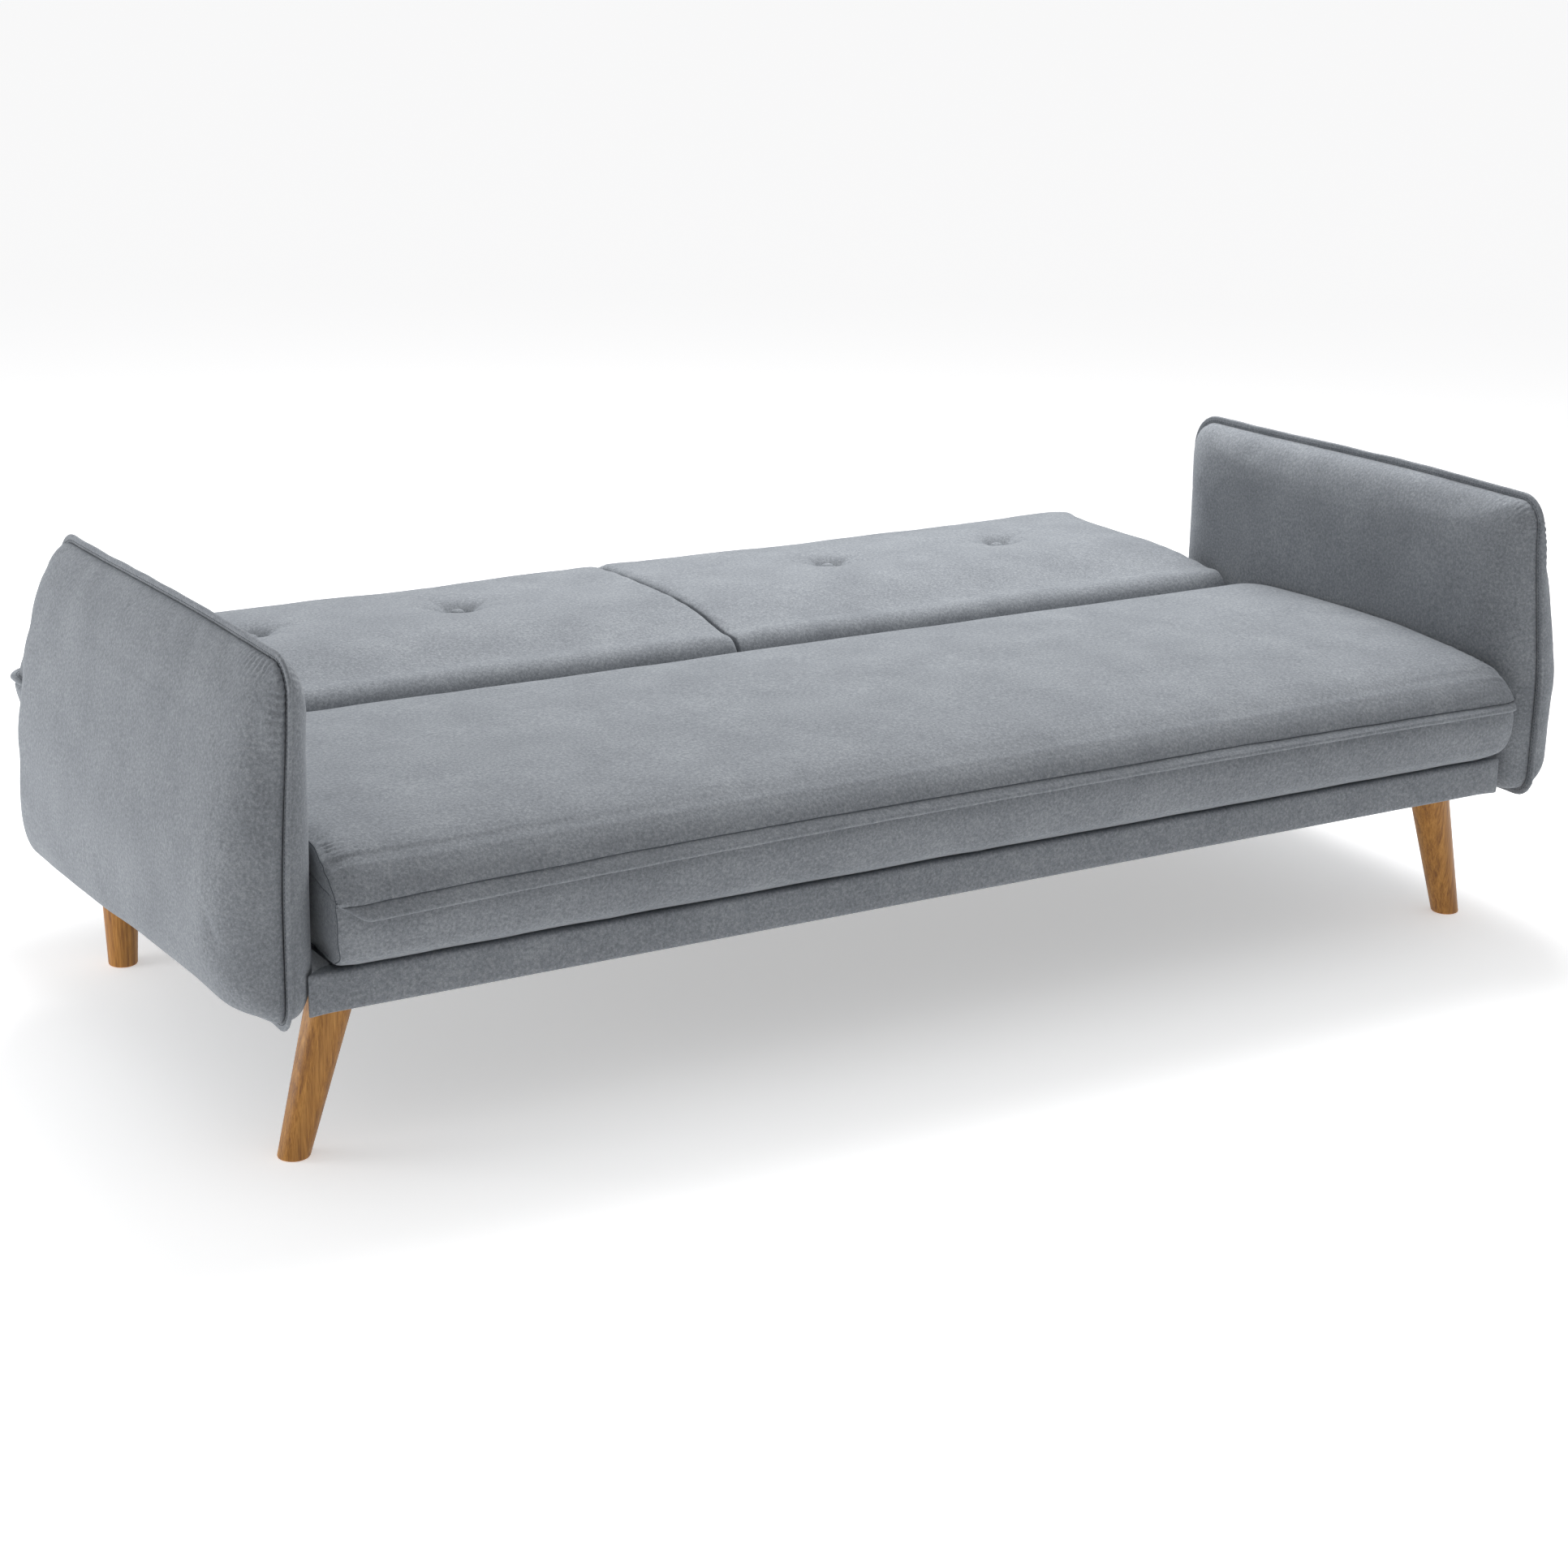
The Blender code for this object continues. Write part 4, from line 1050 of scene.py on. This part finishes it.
BUTTON_DOME = [(3, -5), (9, -5), (10, -3.5), (10.4, -1.5), (9.8, 0.8)]  # (radius, height) in mm
BUTTON_DOME += [(8.2, 2.6), (5.6, 3.8), (2.8, 4.4), (0.8, 4.5)]
BUTTON_RISE = 2 * MM  # above the hard solid's top, at the bottom of the tuft
SIDES = (("left", -1), ("right", 1))  # and the sign of X on that side
for side, sign in SIDES:
    for number, button in enumerate(buttons, 1):
        place = Vector((sign * button.x, button.y, back_high.z + BUTTON_RISE))
        dome = lathe(f"{side}_cover_button_{number}", [(r * MM, h * MM) for r, h in BUTTON_DOME], place, 32)
        finished(dome, f"{side}_back", "upholstery", FELT, f"{side}_button_{number}")

# %% [markdown]
# ## Wrapped rails
# The front and rear rails are timber under a thin layer of wadding and felt, pulled tight and
# stapled below. The edges are soft, and the cloth shows faint ripples between the staples.


# %% Rails
RAIL_SLANT = 30 * MM  # the front rail's ends are cut on a slant, behind the arm pads' round fronts


def wrapped(name, node, body, seed, rows=6, slant=0.0, ends=(0.0, 0.0)):
    """A board in a tight cover. It can have slanted ends, and the cover can pass the board's ends."""
    low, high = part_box(node)
    low.x, high.x = low.x - ends[0], high.x + ends[1]
    height = high.z - low.z
    edge = 5 * MM
    rear, front, under, over = high.y, low.y, low.z, high.z
    at_rear = [(rear - edge, under), (rear, under + edge), (rear, over - edge), (rear - edge, over)]
    at_front = [(front + edge, over), (front, over - edge), (front, under + edge), (front + edge, under)]
    across = joined(
        even_line([at_front[-1], at_rear[0]], rows),
        smooth_line(at_rear, 10),
        even_line([at_rear[-1], at_front[0]], rows),
        smooth_line(at_front, 10),
    )
    loops = []
    for x in np.linspace(low.x, high.x, 190):
        depth = min(1.0, 0.1 + min(high.x - x, x - low.x) / slant) if slant else 1.0
        loops.append(at_x(np.column_stack([front + (across[:, 0] - front) * depth, across[:, 1]]), x))
    places, faces = skin(loops, rows, 10)
    rail = subdivided(solid(name, places, faces))
    places, outward = places_of(rail.data), outward_of(rail.data)
    ripple = swell(places * (1, 0.3, 0.3), 0.08, seed) * 0.8 * MM + swell(places, 0.03, seed + 1) * 0.25 * MM
    inside = np.clip((height - np.abs(places[:, 2] - low.z - height / 2) * 2) / 0.01, 0.2, 1)
    set_places(rail.data, places + outward * (ripple * inside - 0.3 * MM)[:, None])
    finished(rail, body, "upholstery", FELT, node, fill=1.0)
    print(f"  {node}: {1000 * (high.x - low.x):.0f} mm long and {1000 * height:.0f} mm high")


wrapped("front_rail_cover", "front_rail", "base", 31, slant=RAIL_SLANT, ends=(6 * MM, -15 * MM))
wrapped("rear_rail_cover", "rear_rail", "base", 37)

# %% The backs' rear panels
for side, seed in (("left", 41), ("right", 43)):
    wrapped(f"{side}_back_panel", f"{side}_back_board", f"{side}_back", seed, rows=24)

# %% [markdown]
# ## Legs
# Four turned legs taper to the foot. The front ones are set at an angle, so they stand out sideways,
# and the saw cut at the top and at the foot is level. The foot's edge is eased by hand sanding.

# %% Legs
TOP_RADIUS, FOOT_RADIUS = 31 * MM, 21 * MM
FOOT_EDGE = [(0.6, 0), (0.9, 0), (0.955, 0.003), (0.99, 0.009), (1.0, 0.018), (1.0, 0.03)]  # shares
for label in ("front_left", "front_right", "rear_left", "rear_right"):
    low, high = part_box(f"{label}_leg")
    plate_low, plate_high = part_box(f"{label}_hanger_bolt")
    top_x, y = (plate_low.x + plate_high.x) / 2, (plate_low.y + plate_high.y) / 2
    outer_foot = low.x if top_x < 0 else high.x
    foot_x = outer_foot + (FOOT_RADIUS if top_x < 0 else -FOOT_RADIUS)
    lean = (top_x - foot_x) / high.z if label.startswith("front") else 0.0
    foot_x = top_x - lean * high.z
    shape = [(FOOT_RADIUS * r, high.z * h) for r, h in FOOT_EDGE]
    for t in np.linspace(0.1, 1, 10):
        shape.append((FOOT_RADIUS + (TOP_RADIUS - FOOT_RADIUS) * t, high.z * (0.03 + 0.97 * t)))
    leg = lathe(f"{label}_wood_leg", shape, (foot_x, y, 0.0), 64, lean)
    finished(leg, "base", "oiled_leg_wood", LEG_WOOD, f"{label}_leg")

# %% [markdown]
# ## Stitches
# Seams are closed with a lockstitch in dark thread. A row of stitches is the same small thing many
# hundred times along a path, which is work for Geometry Nodes: the path becomes a curve, points are
# set along it, and a spindle is put on each. Real stitches are 3.5 mm long in 0.4 mm thread. The
# thread is drawn 0.9 mm thick, so that it shows at all.

# %% Stitch row
STITCH, STITCH_GAP, THREAD_WIDTH = 3.5 * MM, 1.6 * MM, 0.9 * MM


def node_group(name, **sizes):
    """An empty Geometry Nodes tree with a geometry socket each way and named number inputs."""
    tree = bpy.data.node_groups.new(name, "GeometryNodeTree")
    tree.interface.new_socket("Geometry", in_out="INPUT", socket_type="NodeSocketGeometry")
    tree.interface.new_socket("Geometry", in_out="OUTPUT", socket_type="NodeSocketGeometry")
    for key, value in sizes.items():
        socket = tree.interface.new_socket(key, in_out="INPUT", socket_type="NodeSocketFloat")
        socket.default_value = value
    return tree, tree.nodes.new("NodeGroupInput"), tree.nodes.new("NodeGroupOutput")


def along_path(unit, start, tree, finish, material, pitch):
    """Ends a tree: the unit on each point of the path, lying along it, as real mesh with a material."""
    path = add(tree, "GeometryNodeMeshToCurve", Mesh=start.outputs["Geometry"]).outputs["Curve"]
    spaced = add(tree, "GeometryNodeResampleCurve", {"mode": "LENGTH"}, Curve=path, Length=pitch)
    points = spaced.outputs["Curve"]
    ahead = add(tree, "GeometryNodeInputTangent").outputs["Tangent"]
    lie = add(tree, "FunctionNodeAlignRotationToVector", {"axis": "Z"}, Vector=ahead).outputs["Rotation"]
    placed = add(tree, "GeometryNodeInstanceOnPoints", Points=points, Instance=unit, Rotation=lie)
    real = add(tree, "GeometryNodeRealizeInstances", Geometry=placed.outputs["Instances"])
    painted = add(tree, "GeometryNodeSetMaterial", Geometry=real.outputs["Geometry"], Material=material)
    tree.links.new(painted.outputs["Geometry"], finish.inputs[0])
    return tree


stitch_sizes = {"Stitch": STITCH, "Gap": STITCH_GAP, "Thread": THREAD_WIDTH}
stitch_tree, stitch_in, stitch_out = node_group("stitch_row", **stitch_sizes)
pitch = add(stitch_tree, "ShaderNodeMath", i0=stitch_in.outputs["Stitch"], i1=stitch_in.outputs["Gap"])
halving = {"operation": "MULTIPLY"}
half_thread = add(stitch_tree, "ShaderNodeMath", halving, i0=stitch_in.outputs["Thread"], i1=0.5)
half_stitch = add(stitch_tree, "ShaderNodeMath", halving, i0=stitch_in.outputs["Stitch"], i1=0.5)
girth = half_thread.outputs[0]
spindle_size = add(stitch_tree, "ShaderNodeCombineXYZ", X=girth, Y=girth, Z=half_stitch.outputs[0])
ball = add(stitch_tree, "GeometryNodeMeshUVSphere", Segments=6, Rings=4, Radius=1.0).outputs["Mesh"]
spindle = add(stitch_tree, "GeometryNodeTransform", Geometry=ball, Scale=spindle_size.outputs["Vector"])
along_path(spindle.outputs["Geometry"], stitch_in, stitch_tree, stitch_out, THREAD_AND_CREASE_SHADE, pitch.outputs[0])


def sprung(name, paths, tree, body, slot, material):
    """Runs a tree on paths and keeps the result as a plain mesh that rides on a body."""
    points = [tuple(p) for path in paths for p in path]
    edges, first = [], 0
    for path in paths:
        edges += [(first + i, first + i + 1) for i in range(len(path) - 1)]
        first += len(path)
    mesh = bpy.data.meshes.new(name)
    mesh.from_pydata(points, edges, [])
    obj = link(name, mesh)
    modifier = obj.modifiers.new("row", "NODES")
    modifier.node_group = tree
    evaluated = obj.evaluated_get(bpy.context.evaluated_depsgraph_get())
    made = bpy.data.meshes.new_from_object(evaluated)
    obj.modifiers.clear()
    obj.data = made
    made.name = name
    made.shade_smooth()
    return finished(obj, body, slot, material)


def laid_on(path, target, lift=0.25 * MM):
    """A path moved onto the nearest surface of a piece."""
    mesh = target.data
    surface = BVHTree.FromPolygons([v.co for v in mesh.vertices], [p.vertices for p in mesh.polygons])
    laid = []
    for p in path:
        place, outward, _, _ = surface.find_nearest(Vector(p))
        laid.append(tuple(place + outward * lift))
    return laid


def beside_path(path, outward, across, width):
    """A row on one face of a welt: so far out from its root, and so far to one side."""
    path, outward = np.array(path, float), np.array(outward, float)
    ahead = np.gradient(path, axis=0)
    side = np.cross(ahead, outward)
    side /= np.linalg.norm(side, axis=1)[:, None]
    return path + outward * width + side * across


# %% Seam shade line: a dark tube laid in a seam's groove, which paints the shade of the crease
seam_shade_tree, seam_shade_in, seam_shade_out = node_group("painted_seam_shade_line", Thread=1.6 * MM)
line_path = add(seam_shade_tree, "GeometryNodeMeshToCurve", Mesh=seam_shade_in.outputs["Geometry"]).outputs["Curve"]
line_half = add(seam_shade_tree, "ShaderNodeMath", halving, i0=seam_shade_in.outputs["Thread"], i1=0.5)
line_round = add(seam_shade_tree, "GeometryNodeCurvePrimitiveCircle", Resolution=6, Radius=line_half.outputs[0])
line_profile = line_round.outputs["Curve"]
line_tube = add(seam_shade_tree, "GeometryNodeCurveToMesh", Curve=line_path, Profile_Curve=line_profile)
line_real = add(seam_shade_tree, "GeometryNodeRealizeInstances", Geometry=line_tube.outputs["Mesh"])
line_done = add(seam_shade_tree, "GeometryNodeSetMaterial", Geometry=line_real.outputs["Geometry"], Material=THREAD_AND_CREASE_SHADE)
seam_shade_tree.links.new(line_done.outputs["Geometry"], seam_shade_out.inputs[0])

# %% Rows of stitches
end_rows = []
for station, sign in ((0, -1), (last_station, 1)):
    loop = seat_loops[station]
    inset = eased(loop[:, 1:], 5 * MM)
    row = np.column_stack([loop[:, 0] + sign * 2 * MM, inset])
    end_rows.append(laid_on(smooth_line(np.concatenate([row, row[:1]]), 700), seat))
sprung("seat_end_stitches", end_rows, stitch_tree, "base", "upholstery", THREAD_AND_CREASE_SHADE)
# A dark cord along each end seam: painted shade in the seam's groove.
end_seam_shades = []
for station in (0, last_station):
    loop = seat_loops[station]
    end_seam_shades.append(laid_on(smooth_line(np.concatenate([loop, loop[:1]]), 500), seat, 0.4 * MM))
sprung("seat_end_seam_painted_shade", end_seam_shades, seam_shade_tree, "base", "upholstery", THREAD_AND_CREASE_SHADE)
# A dark cord in the groove above the nose welt: painted shade for the crease.
above_welt = laid_on(nose_path + np.array((0, -1, 3)) * MM, seat, 0.3 * MM)
sprung("seat_nose_crease_painted_shade", [above_welt[2:]], seam_shade_tree, "base", "upholstery", THREAD_AND_CREASE_SHADE)
nose_row = laid_on(beside_path(nose_path, nose_out, 4 * MM, 9 * MM)[8:-4], nose_welt)
sprung("seat_nose_stitches", [nose_row], stitch_tree, "base", "upholstery", THREAD_AND_CREASE_SHADE)


def welt_stitches(name, path, out, away, strip, body, keep=slice(None)):
    """A row of stitches on each face of a welt, so far from its root."""
    rows = []
    for across in (-4 * MM, 4 * MM):
        rows.append(laid_on(beside_path(path, out, across, away)[keep], bpy.data.objects[strip]))
    sprung(name, rows, stitch_tree, body, "upholstery", THREAD_AND_CREASE_SHADE)


closed_ring, closed_out = np.concatenate([ring, ring[:1]]), np.concatenate([ring_out, ring_out[:1]])
for side, sign in SIDES:
    line = closed_ring * (sign, 1, 1)
    welt_stitches(f"{side}_arm_stitches", line, closed_out, 3.5 * MM, f"{side}_welt", "base")
for side, sign in SIDES:
    mirror, keep, strip = np.array((sign, 1, 1)), slice(16, -10), f"{side}_back_welt"
    line, out = welt_run * mirror, run_out * mirror
    welt_stitches(f"{side}_back_stitches", line, out, 4 * MM, strip, f"{side}_back", keep)

# %% [markdown]
# ## Dust cloth
# The underside is closed with a black sheet stretched between the rails. It is one thin piece that
# dips a little between the joists.

# %% Dust cloth
cloth_low, cloth_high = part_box("dust_cloth")
CLOTH_STEPS = (84, 40)
cloth_points = []
for i in range(CLOTH_STEPS[0] + 1):
    for j in range(CLOTH_STEPS[1] + 1):
        u, v = i / CLOTH_STEPS[0], j / CLOTH_STEPS[1]
        x = cloth_low.x + u * (cloth_high.x - cloth_low.x)
        y = cloth_low.y + v * (cloth_high.y - cloth_low.y)
        dip = 1.2 * MM * math.sin(math.pi * v) ** 2 * math.sin(2 * math.pi * u) ** 2
        cloth_points.append((x, y, cloth_high.z - 0.5 * MM - dip))
cloth_faces = []
for i in range(CLOTH_STEPS[0]):
    for j in range(CLOTH_STEPS[1]):
        first = i * (CLOTH_STEPS[1] + 1) + j
        cloth_faces.append((first, first + CLOTH_STEPS[1] + 1, first + CLOTH_STEPS[1] + 2, first + 1))
cloth_mesh = bpy.data.meshes.new("underside_cloth")
cloth_mesh.from_pydata(cloth_points, [], cloth_faces)
underside = link("underside_cloth", cloth_mesh)
thickness = underside.modifiers.new("thickness", "SOLIDIFY")
thickness.thickness = 0.6 * MM
thickness.offset = 0
finished(underside, "base", "dust_cloth", SPUNBOND, "dust_cloth")

# %% [markdown]
# ## Staples
# The sheet is stapled every 45 mm along its edges. A staple's crown is a 10 mm length of flat wire, so
# it is a small block, set along the edge by the same tree that sets the stitches.

# %% Staples round the sheet
STAPLE_PITCH, STAPLE_CROWN, STAPLE_WIRE = 45 * MM, 10 * MM, 1.2 * MM
staple_tree, staple_in, staple_out = node_group(
    "staple_row", Pitch=STAPLE_PITCH, Crown=STAPLE_CROWN, Wire=STAPLE_WIRE
)
wire = staple_in.outputs["Wire"]
crown_size = add(staple_tree, "ShaderNodeCombineXYZ", X=wire, Y=wire, Z=staple_in.outputs["Crown"])
crown_block = add(staple_tree, "GeometryNodeMeshCube", Size=crown_size.outputs["Vector"]).outputs["Mesh"]
along_path(crown_block, staple_in, staple_tree, staple_out, ZINC, staple_in.outputs["Pitch"])
edge_in = 8 * MM
corners = [(cloth_low.x + edge_in, cloth_low.y + edge_in), (cloth_high.x - edge_in, cloth_low.y + edge_in)]
corners += [(cloth_high.x - edge_in, cloth_high.y - edge_in), (cloth_low.x + edge_in, cloth_high.y - edge_in)]
staple_path = even_line(corners + corners[:1], 200)
staple_z = cloth_high.z - 1.2 * MM
staple_line = [(x, y, staple_z) for x, y in staple_path]
sprung("underside_staples", [staple_line], staple_tree, "base", "zinc_steel", ZINC)

# %% [markdown]
# ## Timber and steel that stay as they are
# The frame's own solids already have the right shape, so they only get their finish: pine with its
# grain along the longest side, felt on the end rails and the arm boards, whose edges show, and zinc on
# the hinges, plates and bolts.

# %% Finishes for the frame's own pieces
for name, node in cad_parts.items():
    low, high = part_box(name)
    steel = any(word in name for word in ("leaf", "pin", "bolt", "plate"))
    timber = TIMBER_X if high.x - low.x > high.y - low.y else TIMBER_Y
    chosen = ZINC if steel else FELT if "end_rail" in name or "arm_board" in name else timber
    if node.data.materials:
        node.material_slots[0].material = chosen
    else:
        node.data.materials.append(chosen)
print("frame pieces given a finish:", len(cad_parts))
